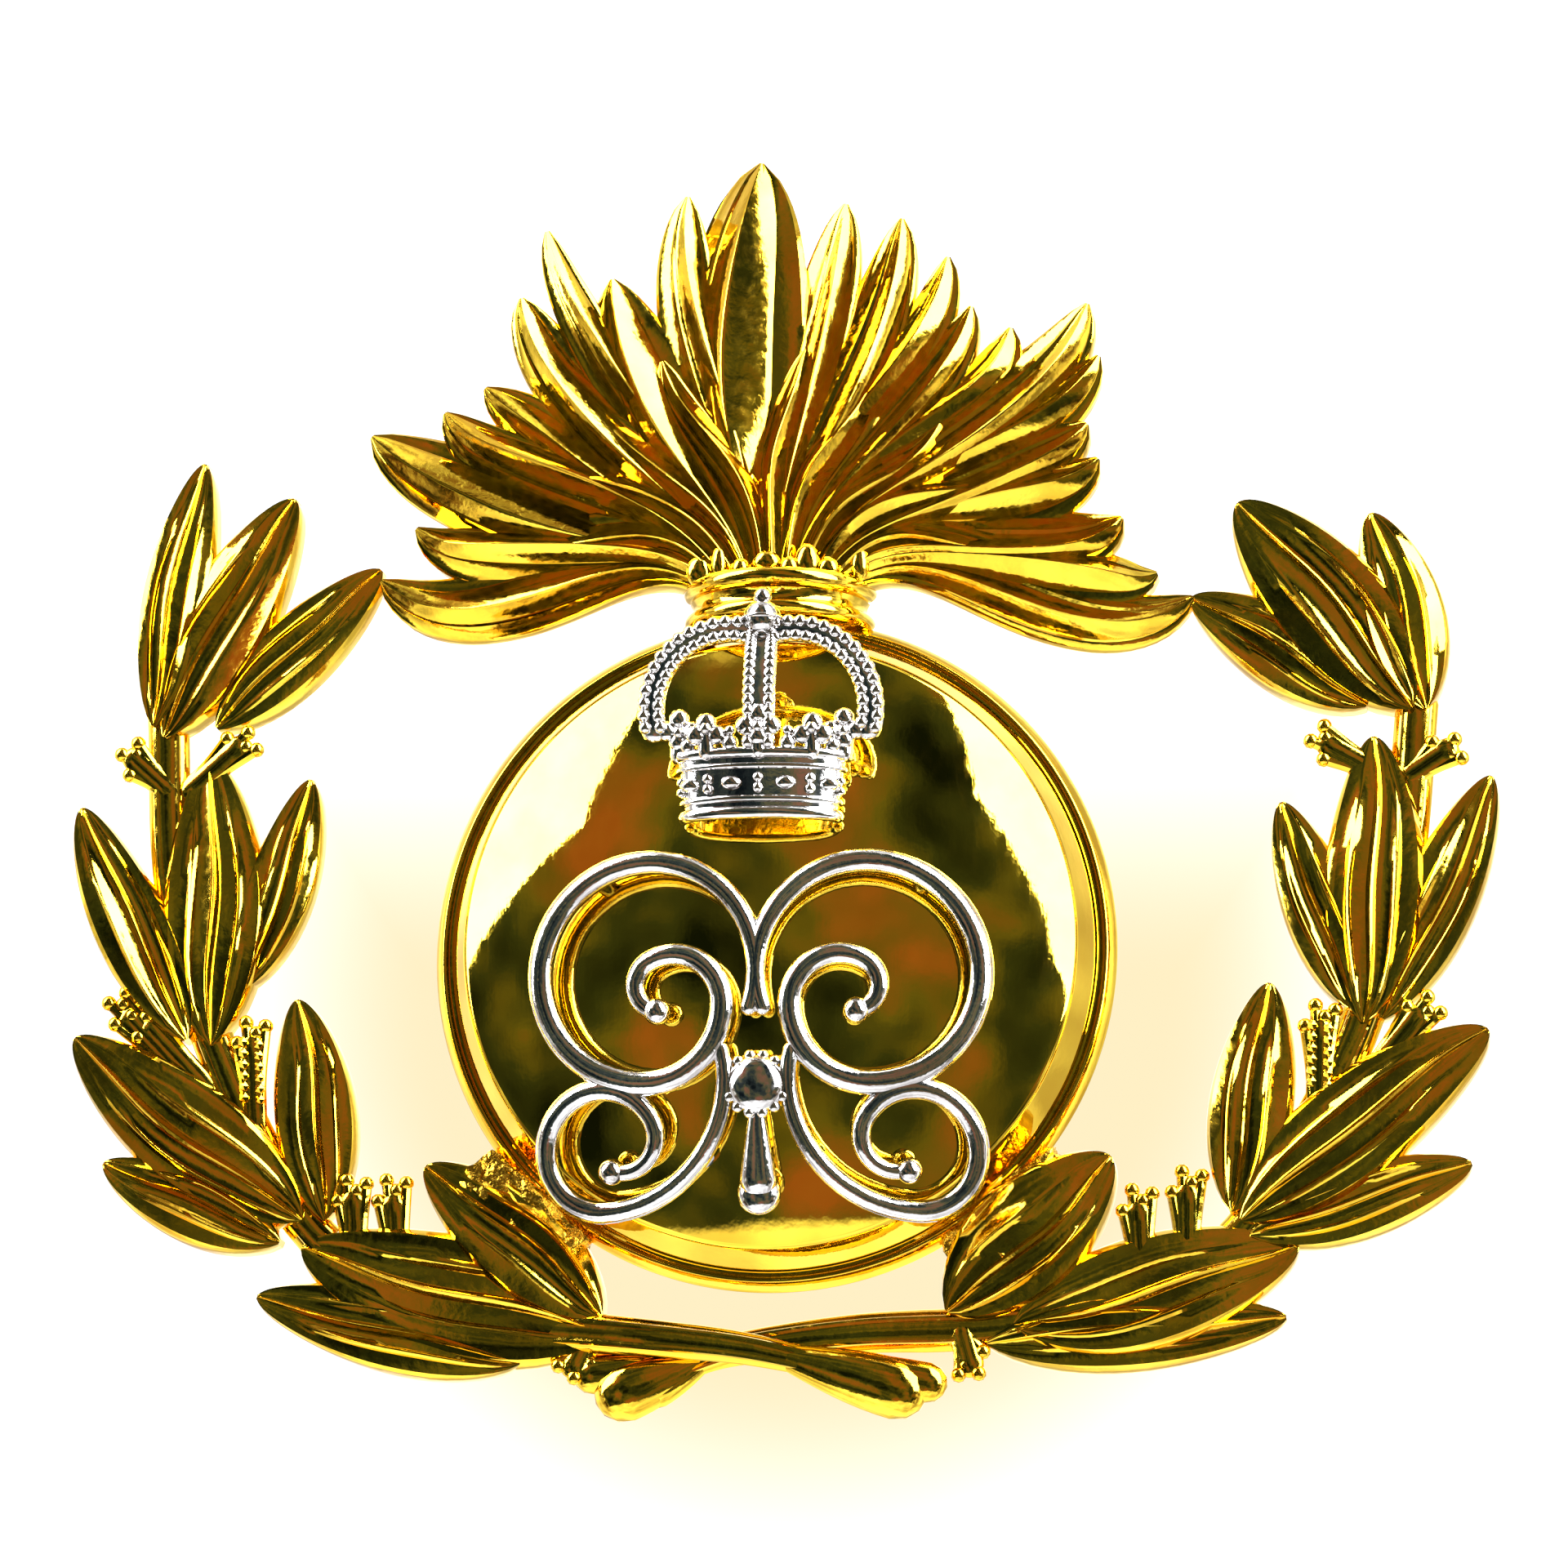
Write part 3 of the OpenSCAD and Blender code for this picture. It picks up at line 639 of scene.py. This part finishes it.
def leaf(bm, foot, length, angle, width, lean, height, bow, stray, base, stations=26):
    """One laurel leaf: a thick pointed plate with raised veins. The side ones stray from their places."""
    a = math.radians(angle)
    along = Vector((math.cos(a), math.sin(a), 0))
    side = UP.cross(along)
    foot = Vector(foot).to_3d()
    shares = [math.sin(math.pi / 2 * i / (stations - 1)) ** 1.2 for i in range(stations)]
    line = []
    for t in shares:
        line.append(foot + along * length * t + side * bow * width * math.sin(math.pi * t) * (0.4 + t * 0.6))
    rings = []
    for i, (t, point) in enumerate(zip(shares, line)):
        across = UP.cross(direction_at(line, i))
        half = max(width / 2 * 1.04 * math.sin(math.pi * t ** 0.9) ** (0.68 - 0.14 * t), LEAF_END_HALF)
        rise = height * (0.86 + 0.14 * math.sin(math.pi * t)) * (1 - 0.25 * t ** 5)
        ring = []
        for share, level in LEAF_SECTION:
            body = min(level, LEAF_TOP)
            vein = (level - body) * min(1, half / 1.2)
            if abs(share) >= 0.2:
                vein *= math.sin(math.pi * min(1, t * 1.2)) * (1 + stray * share)
            wave = 0.0
            if body == LEAF_TOP:
                wave = 0.05 * math.sin(9 * share + 14 * stray) * math.sin(math.pi * t)
            slid = share + (0.16 * stray + 0.08 * math.sin(7 * t + 9 * stray)) * (1 - share * share)
            up = rise * (body + vein + wave) + lean * share * half if level else base
            ring.append(point + across * slid * half + UP * up)
        rings.append(ring)
    sweep(bm, rings)


def berry(bm, root, centre, beaded, radius):
    """A fan of four short rods with small berries on their ends. A beaded one has knobs down its rods."""
    root, centre = Vector((*root, 0.8)), Vector((*centre, 1.15))
    run = (root - centre).normalized()
    side = UP.cross(run)
    tube(bm, [root.lerp(centre, k / 9) for k in range(8)], 0.6, sides=12, flat=0.6)
    for way, back in ((-1, 0.9), (-0.35, 0), (0.3, 0.5), (0.95, 0.2)):
        top = centre + side * way * 0.68 + run * back
        foot = root + side * way * 0.3
        tube(bm, curve_through([foot, foot.lerp(top, 0.5) - side * way * 0.1, top], 4), 0.26, sides=10)
        ball(bm, top, radius * 0.58)
    if beaded:
        for k in range(1, 7):
            for way in (-0.36, 0.36):
                knob = centre + run * (0.5 + 0.5 * k + 0.2 * way) + side * way + UP * 0.34
                ball(bm, knob, 0.25, detail=1)


def branch(bm, sizes, leaves, stem, cuts, berries, stem_low, seed):
    """One laurel branch: stem, cut sprig ends, leaves and berries."""
    draw = random.Random(seed)
    height = sizes.leaf_rise / MM
    radius = sizes.stem_radius / MM
    for i, (foot, length, angle, width, lean) in enumerate(leaves):
        leaf(bm, foot, length, angle, width, lean + draw.uniform(-0.05, 0.05),
             height - 0.16 * (i % 3), draw.uniform(-0.09, 0.09), draw.uniform(-0.8, 0.8), BACK_STEP * i)
    # The stem starts at its own height, so that one crosses over the other, and then sinks to the same
    line = curve_through(stem, 8)
    for i, point in enumerate(line):
        sink = min(1, max(0, (i - 13) / 9))
        point.z = stem_low + (0.5 - stem_low) * sink * sink * (3 - 2 * sink)
    radii = [radius * (0.72 + 0.45 * min(1, i / 20)) for i in range(len(line))]
    tube(bm, line, radii, flat=0.65)
    for way in (-0.5, 0.5):
        rib = []
        for i, point in enumerate(line):
            rib.append(point + UP.cross(direction_at(line, i)) * way * radii[i] + UP * radii[i] * 0.52)
        tube(bm, rib, 0.15, sides=8)
    for cut, thick in zip(cuts, (0.95, 1.35, 0.9)):
        end = Vector((*cut, stem_low))
        start = line[4]
        tube(bm, curve_through([start, start.lerp(end, 0.5), end], 4),
             [0.5 + (thick - 0.5) * math.sin(math.pi / 2 * k / 8) for k in range(9)], flat=0.72)
    for root, centre, beaded in berries:
        berry(bm, root, centre, beaded, sizes.berry_radius / MM)


class BADGE_OT_laurel(bpy.types.Operator):
    """Make the two laurel branches"""
    bl_idname = "badge.laurel"
    bl_label = "Laurel Branches"

    def execute(self, context):
        sizes = context.scene.badge_sizes
        rows = (
            ("left", LEAVES_LEFT, STEM_LEFT, CUTS_LEFT, BERRIES_LEFT, 1.6, 5),
            ("right", LEAVES_RIGHT, STEM_RIGHT, CUTS_RIGHT, BERRIES_RIGHT, 0.75, 9),
        )
        for name, leaves, stem, cuts, berries, stem_low, seed in rows:
            bm = bmesh.new()
            branch(bm, sizes, leaves, stem, cuts, berries, stem_low, seed)
            finish_piece(bm, f"laurel_{name}_cast", struck_gilt(), [f"laurel_{name}"], smooth=32)
        return {"FINISHED"}


class BADGE_OT_ties(bpy.types.Operator):
    """Make the rough cast ties between the ball and the branches"""
    bl_idname = "badge.ties"
    bl_label = "Ties"

    def execute(self, context):
        for name, outline in (("left", TIE_LEFT), ("right", TIE_RIGHT)):
            bm = bmesh.new()
            face = bm.faces.new([bm.verts.new((x, y, 0)) for x, y in outline])
            top = bmesh.ops.extrude_face_region(bm, geom=[face])["geom"]
            raised = [g for g in top if isinstance(g, bmesh.types.BMVert)]
            bmesh.ops.translate(bm, vec=(0, 0, TIE_T), verts=raised)
            bmesh.ops.triangulate(bm, faces=bm.faces)
            bmesh.ops.subdivide_edges(bm, edges=bm.edges, cuts=9, use_grid_fill=True)
            bmesh.ops.smooth_vert(
                bm, verts=bm.verts, factor=0.5, use_axis_x=True, use_axis_y=True, use_axis_z=True)
            for vert in bm.verts:
                lump = noise.noise_vector(vert.co * 1.7) * 0.3 + noise.noise_vector(vert.co * 4.5) * 0.12
                vert.co += Vector((lump.x, lump.y, lump.z if vert.co.z > 0.3 else 0))
            finish_piece(bm, f"tie_{name}_cast", cast_gilt(), [f"tie_{name}"], smooth=60)
        return {"FINISHED"}


# ---- Crown ----

def level_up(point):
    """Way up for a wire that lies level."""
    return Vector((0, 1, 0))


def oval(level, wide, deep, back, start, end, steps):
    """Points round an oval that lies level, as seen from above the badge. 270 degrees is its front."""
    turns = [math.radians(start + (end - start) * k / steps) for k in range(steps + 1)]
    return [Vector((wide * math.cos(a), level, back - deep * math.sin(a))) for a in turns]


class BADGE_OT_crown(bpy.types.Operator):
    """Make the beaded crown"""
    bl_idname = "badge.crown"
    bl_label = "Crown"

    def execute(self, context):
        bead = context.scene.badge_sizes.bead_radius / MM
        low, high = 5.0, 7.7
        back, deep = 5.75, 1.3
        bm = bmesh.new()

        # Circlet: a flared band with four rims round it
        corners = (
            (low, 3.35, deep), (high, 3.75, deep + 0.15), (high, 3.45, deep - 0.15), (low, 3.05, deep - 0.3))
        rings = []
        for k in range(33):
            a = math.radians(180 + 180 * k / 32)
            out = Vector((math.cos(a), 0, -math.sin(a)))
            ring = []
            for level, wide, depth in corners:
                ring.append(Vector((wide * out.x, level, back + depth * out.z)))
            rings.append(ring)
        sweep(bm, rings)
        rims = (
            (low, 3.4, deep + 0.02, 0.3), (high, 3.8, deep + 0.15, 0.26),
            (low + 0.62, 3.5, deep + 0.08, 0.16), (high - 0.6, 3.7, deep + 0.12, 0.14))
        for level, wide, depth, r in rims:
            tube(bm, oval(level, wide, depth, back, 180, 360, 40), r, sides=10, lift=level_up)

        # Jewels and beads on the band
        for k in range(9):
            a = math.radians(192 + 19.5 * k)
            spot = Vector((3.62 * math.cos(a), (low + high) / 2 - 0.02, back - (deep + 0.18) * math.sin(a)))
            if k % 2:
                ball(bm, spot, 0.42, (1.15, 0.75, 0.7))
            else:
                ball(bm, spot + Vector((0, 0.22, 0)), 0.24)
                ball(bm, spot - Vector((0, 0.24, 0)), 0.24)

        # Points on the rim, alternately a cluster of four balls and one of three
        four = ((-0.56, 1.05), (0.56, 1.05), (0, 1.6), (0, 0.6))
        three = ((-0.46, 0.7), (0.46, 0.7), (0, 1.25))
        for k, a in enumerate((192, 231, 270, 309, 348)):
            a = math.radians(a)
            foot = Vector((3.75 * math.cos(a), high + 0.1, back - (deep + 0.1) * math.sin(a)))
            tube(bm, [foot, foot + Vector((0, 1.2, 0))], 0.42, sides=10)
            for dx, dy in three if k % 2 else four:
                ball(bm, foot + Vector((dx, dy, 0.2)), 0.48, (1, 1, 0.8))
            ball(bm, foot + Vector((0, 0.95, 0.5)), 0.26)
        for a in (211, 250, 290, 329):
            a = math.radians(a)
            foot = Vector((3.75 * math.cos(a), high + 0.42, back - (deep + 0.12) * math.sin(a)))
            ball(bm, foot, 0.4)
            ball(bm, foot + Vector((0, 0.55, 0.05)), 0.26)

        # Side arches with two rows of beads
        for way in (-1, 1):
            line = arc_line((1.3, 9.8), 3.6, -14, 108, 4)
            line = [Vector((way * p.x, p.y, back + 0.55 + 0.35 * math.sin(math.pi * i / len(line))))
                    for i, p in enumerate(line)]
            tube(bm, line, 0.58, sides=12, flat=0.55)
            for i in range(0, len(line) - 1, 2):
                run = direction_at(line, i)
                side = UP.cross(run)
                for shift in (-0.33, 0.33):
                    ball(bm, line[i] + side * shift + UP * 0.26 + run * (0.12 if shift > 0 else 0), bead)

        # Middle arch, orb and top ball
        arch = curve_through([
            (0, 8.1, back + deep + 0.2), (0, 10.4, back + deep + 0.15), (0, 12.3, back + 1.0),
            (0, 13.2, back + 0.6)], 5)
        tube(bm, arch, 0.72, sides=14, flat=0.3)
        for point in arch:
            for shift in (-0.46, 0.46):
                ball(bm, point + Vector((shift, 0, 0.2)), 0.28)
        orb_r, orb_y, orb_z = 0.85, 13.9, back + 0.75
        ball(bm, (0, orb_y, orb_z), orb_r, detail=3)
        turns = [2 * math.pi * k / 24 for k in range(24)]
        band = [Vector((orb_r * math.cos(a), orb_y, orb_z + orb_r * math.sin(a))) for a in turns]
        tube(bm, band, 0.1, sides=8, closed=True, lift=level_up)
        ball(bm, (0, 14.9, orb_z), 0.42)
        finish_piece(bm, "crown_cast", silver(), ["crown"], smooth=50)
        return {"FINISHED"}


# ---- Scroll ----

def onto_shell(point, radius):
    """Lifts a laid-out point onto a sphere round the dome's centre."""
    flat = point.x ** 2 + point.y ** 2
    return Vector((point.x, point.y, DOME_CENTRE_Z + math.sqrt(radius ** 2 - flat)))


def off_dome(point):
    """Way up off the dome at a point."""
    return (point - Vector((0, 0, DOME_CENTRE_Z))).normalized()


class BADGE_OT_scroll(bpy.types.Operator):
    """Make the silver scroll that stands off the dome"""
    bl_idname = "badge.scroll"
    bl_label = "Scroll Ornament"

    def execute(self, context):
        radius = DOME_CURVE + context.scene.badge_sizes.scroll_gap / MM + 0.5
        bm = bmesh.new()
        for way in (-1, 1):
            for arcs, width in SCROLL_RUNS:
                flat = []
                for centre, r, start, end in arcs:
                    flat += arc_line(centre, r, start, end, 6)[(1 if flat else 0):]
                line = [onto_shell(Vector((way * p.x, p.y, 0)), radius) for p in flat]
                count = len(line) - 1
                swell = [math.sin(math.pi * (i / count) ** 0.7) for i in range(count + 1)]
                radii = [width / 2 * (0.72 + 0.34 * share) for share in swell]
                tube(bm, line, radii, sides=16, flat=0.92, lift=off_dome)
            for x, y in ((4.4, -3.8), (6.6, -10.6)):
                ball(bm, onto_shell(Vector((way * x, y, 0)), radius), 0.6, detail=3)
        # A round boss that joins the halves, ringed with beads, and the drop under it
        boss_r = 1.3
        boss = onto_shell(Vector((0, -7, 0)), radius)
        ball(bm, boss, boss_r, (1, 1, 0.55), detail=4)
        for k in range(14):
            a = 2 * math.pi * k / 14
            ball(bm, boss + Vector((boss_r * math.cos(a), boss_r * math.sin(a), 0.02)), 0.27)
        drop = [onto_shell(Vector((0, -8 - 3.1 * k / 12, 0)), radius) for k in range(13)]
        tube(bm, drop, [0.32 + 0.045 * k for k in range(13)], sides=16, flat=0.7, lift=off_dome)
        ball(bm, onto_shell(Vector((0, -11.6, 0)), radius - 0.1), 0.98, (1, 1, 0.6), detail=3)
        finish_piece(bm, "scroll_wire", silver(), ["scroll_ornament"], smooth=50)
        return {"FINISHED"}


# ---- Fixings ----

class BADGE_OT_split_pin(bpy.types.Operator):
    """Make the half-round split pin"""
    bl_idname = "badge.split_pin"
    bl_label = "Split Pin"

    def execute(self, context):
        low, high = [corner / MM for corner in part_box("split_pin")]
        depth = (low.y + high.y) / 2
        level = (low.z + high.z) / 2
        tip, far = low.x, high.x
        wire = 0.66
        loop = 1.0
        eye = far - wire - loop
        neck = eye - 1.75
        # The flat of the wire runs along this line, out along the upper leg, round the loop and back
        upper = [(tip + (neck - tip) * k / 10, 0.06) for k in range(11)]
        upper += [(neck + 0.5, 0.16), (neck + 0.95, 0.5)]
        turns = [math.radians(140 - 280 * k / 32) for k in range(33)]
        line = upper + [(eye + loop * math.cos(a), loop * math.sin(a)) for a in turns]
        line += [(x, -z) for x, z in upper[::-1]]
        line = [Vector((x, z, 0)) for x, z in line]
        rings = []
        for i, point in enumerate(line):
            run = direction_at(line, i)
            out = UP.cross(run)
            arc = [math.pi * k / 10 for k in range(11)]
            rings.append([point + out * wire * math.sin(a) + UP * wire * math.cos(a) for a in arc])
        bm = bmesh.new()
        sweep(bm, rings)
        upright = Matrix.Translation((0, depth, level)) @ Matrix.Rotation(math.radians(90), 4, "X")
        finish_piece(
            bm, "split_pin_wire", brass(), ["split_pin"], "pin", smooth=50,
            place=Matrix.Scale(MM, 4) @ upright)
        return {"FINISHED"}


class BADGE_OT_fixings(bpy.types.Operator):
    """Give the lugs, pads, studs and burrs their metals"""
    bl_idname = "badge.fixings"
    bl_label = "Lugs, Pads and Studs"

    def execute(self, context):
        finishes = {
            "lug_left": brass(), "lug_right": brass(), "lug_pads": brass(), "stud_burrs": brass(),
            "crown_studs": silver(), "scroll_studs": silver(),
        }
        for name, material in finishes.items():
            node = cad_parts[name]
            node.data.materials.clear()
            node.data.materials.append(material)
        return {"FINISHED"}


# ---- Stage ----

# Corners of the two tall windows, as azimuth and elevation seen from the badge, in degrees
WINDOW_LEFT = [(-44, 66), (-44.5, 29), (-53.5, 20), (-63, 8), (-78, -4), (-86, 66)]
WINDOW_RIGHT = [(38, 66), (35, 36), (44, 19), (46, 7), (52, -4), (76, -4), (82, 66)]
# Floor, board and camera in metres, but the sensor in millimetres
FLOOR_SIZE = 1.5
FLOOR_LEVEL = -0.12
BOARD_SIZE = 0.08
BOARD_DISTANCE = 0.009
CAMERA_AIM = Vector((0.000377, -0.0008, 0.00759))
SENSOR_WIDTH = 36


def light_room(stage):
    """White room behind the badge and a dim olive and brown one in front of it."""
    world = bpy.data.worlds.new("room")
    bpy.context.scene.world = world
    world.use_nodes = True
    graph = Graph(world.node_tree)
    sky = graph.add("TexCoord", {})["Generated"]
    parts = graph.add("SeparateXYZ", {"Vector": sky})
    near = graph.ramp(graph.noise(sky, 2.6, 2), [
        (0.34, (0.006, 0.01, 0.012)), (0.46, (0.04, 0.055, 0.05)), (0.55, (0.13, 0.13, 0.06)),
        (0.7, (0.34, 0.13, 0.08))])
    around = graph.ramp(graph.noise(sky, 5.5, 2), [
        (0.36, (0.03, 0.03, 0.025)), (0.46, (0.22, 0.12, 0.07)), (0.54, (0.5, 0.48, 0.4)),
        (0.66, (1.7, 1.7, 1.6))])
    glow = stage.room_glow
    far = graph.ramp(graph.noise(sky, 1.7, 2), [
        (0.36, [glow * share for share in (0.36, 0.34, 0.33)]), (0.5, [glow * 0.75] * 3),
        (0.62, [glow * 1.15] * 3)])
    dim = graph.mix(graph.step(parts["Y"], -0.46, -0.3), near, around)
    bright = graph.larger(graph.step(parts["Y"], -0.24, 0.12), graph.step(parts["Z"], -0.645, -0.685))
    room = graph.add("Background", {"Color": graph.mix(bright, dim, far)})["Background"]
    plain = graph.add("Background", {"Color": (1, 1, 1, 1), "Strength": 1.3})["Background"]
    seen = graph.add("LightPath", {})["Is Camera Ray"]
    choose = graph.add("MixShader", {"Fac": seen, 1: room, 2: plain})["Shader"]
    graph.add("OutputWorld", {"Surface": choose})


def window(name, corners, glow, distance=0.7):
    """A soft light of any outline, given by the directions of its corners in azimuth and elevation."""
    bm = bmesh.new()
    ring = []
    for azimuth, elevation in corners:
        ring.append(bm.verts.new(distance * heading(math.radians(azimuth), math.radians(elevation))))
    face = bm.faces.new(ring)
    bmesh.ops.triangulate(bm, faces=[face])
    made, graph = new_material(name)
    shine = graph.add("Emission", {"Strength": glow})["Emission"]
    graph.add("OutputMaterial", {"Surface": shine})
    panel = add_object(name, bm, made)
    panel.visible_camera = panel.visible_shadow = False


def heading(azimuth, elevation):
    """Direction from the badge at an angle to the right of its face and above its level."""
    level = math.cos(elevation)
    return Vector((math.sin(azimuth) * level, -math.cos(azimuth) * level, math.sin(elevation)))


def floor_material(colour):
    """Matt pale floor with a faint mottle."""
    made, graph = new_material("pale_floor")
    place = graph.add("TexCoord", {})["Object"]
    grain = graph.noise(place, 60, 2)
    tones = graph.ramp(grain, [(0, [c * 0.96 for c in colour]), (1, colour)])
    shader = graph.add("BsdfPrincipled", {"Base Color": tones, "Roughness": 0.85})["BSDF"]
    graph.add("OutputMaterial", {"Surface": shader})
    return made


def board_material(painted_glow_tint, brightness):
    """Bright board that can be seen from its front only, with a painted warm glow of light reflected off the
    gilt in the middle below the flames.
    """
    made, graph = new_material("white_board")
    place = graph.add("TexCoord", {})["Object"]
    away = graph.add("VectorMath", {0: place}, operation="LENGTH")["Value"]
    height = graph.add("SeparateXYZ", {"Vector": place})["Z"]
    # Painted reflection: a warm glow, a little dimmer than the plain board, that fades out between 19 and 33
    # mm from the middle and between the middle's level and 18 mm above it
    past_painted_glow = graph.larger(graph.step(away, 0.019, 0.033), graph.step(height, 0.0, 0.018))
    colour = graph.mix(past_painted_glow, (*painted_glow_tint, 1), (brightness, brightness, brightness, 1))
    shine = graph.add("Emission", {"Color": colour})["Emission"]
    clear = graph.add("BsdfTransparent", {})["BSDF"]
    behind = graph.add("NewGeometry", {})["Backfacing"]
    choose = graph.add("MixShader", {"Fac": behind, 1: shine, 2: clear})["Shader"]
    graph.add("OutputMaterial", {"Surface": choose})
    return made


class BADGE_OT_stage(bpy.types.Operator):
    """Set the camera, the lights, the board and the floor"""
    bl_idname = "badge.stage"
    bl_label = "Stage"

    def execute(self, context):
        stage = context.scene.badge_stage
        light_room(stage)
        window("window_left", WINDOW_LEFT, stage.window_glow)
        window("window_right", WINDOW_RIGHT, stage.window_glow)

        bm = bmesh.new()
        bmesh.ops.create_grid(bm, x_segments=8, y_segments=8, size=FLOOR_SIZE)
        bmesh.ops.translate(bm, vec=(0, 0, FLOOR_LEVEL), verts=bm.verts)
        floor = add_object("floor", bm, floor_material((0.8, 0.79, 0.77)))
        floor.visible_glossy = False

        bm = bmesh.new()
        bmesh.ops.create_grid(bm, x_segments=8, y_segments=8, size=BOARD_SIZE)
        turn = Matrix.Translation((0, BOARD_DISTANCE, 0)) @ Matrix.Rotation(math.radians(90), 4, "X")
        bmesh.ops.transform(bm, matrix=turn, verts=bm.verts)
        # (1.0, 0.87, 0.56) is the colour of the painted warm reflection of the gilt on the board, and 1.4 is
        # the brightness of the plain board
        board = add_object("board", bm, board_material((1.0, 0.87, 0.56), 1.4))
        board.visible_glossy = board.visible_diffuse = board.visible_shadow = False

        back = heading(stage.azimuth, stage.elevation)
        data = bpy.data.cameras.new("camera")
        data.sensor_width = SENSOR_WIDTH
        data.lens = SENSOR_WIDTH * stage.distance / stage.width_seen
        data.clip_start, data.clip_end = 0.01, 20
        camera = bpy.data.objects.new("camera", data)
        context.scene.collection.objects.link(camera)
        camera.location = CAMERA_AIM + back * stage.distance
        camera.rotation_mode = "QUATERNION"
        roll = Quaternion((0, 0, 1), stage.roll)
        camera.rotation_quaternion = (-back).to_track_quat("-Z", "Y") @ roll
        context.scene.camera = camera
        context.scene.view_settings.view_transform = "Standard"
        return {"FINISHED"}


class BADGE_PT_panel(bpy.types.Panel):
    """The badge's sizes, finishes and pieces"""
    bl_idname = "BADGE_PT_panel"
    bl_label = "Cap Badge"
    bl_space_type = "VIEW_3D"
    bl_region_type = "UI"
    bl_category = "Badge"

    def draw(self, context):
        for settings in (context.scene.badge_sizes, context.scene.badge_finish, context.scene.badge_stage):
            box = self.layout.box()
            for key in settings.__annotations__:
                box.prop(settings, key)
        for operator in PIECES:
            self.layout.operator(operator.bl_idname)


PIECES = (
    BADGE_OT_flame_plume, BADGE_OT_neck_collar, BADGE_OT_ball, BADGE_OT_laurel, BADGE_OT_ties, BADGE_OT_crown,
    BADGE_OT_scroll, BADGE_OT_fixings, BADGE_OT_split_pin, BADGE_OT_stage,
)
CLASSES = (BadgeSizes, BadgeFinish, BadgeStage, *PIECES, BADGE_PT_panel)


def register():
    for made in CLASSES:
        bpy.utils.register_class(made)
    bpy.types.Scene.badge_sizes = PointerProperty(type=BadgeSizes)
    bpy.types.Scene.badge_finish = PointerProperty(type=BadgeFinish)
    bpy.types.Scene.badge_stage = PointerProperty(type=BadgeStage)


def unregister():
    del bpy.types.Scene.badge_stage
    del bpy.types.Scene.badge_finish
    del bpy.types.Scene.badge_sizes
    for made in reversed(CLASSES):
        bpy.utils.unregister_class(made)


def main():
    register()
    bpy.ops.badge.flame_plume()
    bpy.ops.badge.neck_collar()
    bpy.ops.badge.ball()
    bpy.ops.badge.laurel()
    bpy.ops.badge.ties()
    bpy.ops.badge.crown()
    bpy.ops.badge.scroll()
    bpy.ops.badge.fixings()
    bpy.ops.badge.split_pin()
    bpy.ops.badge.stage()


if __name__ == "__main__":
    main()
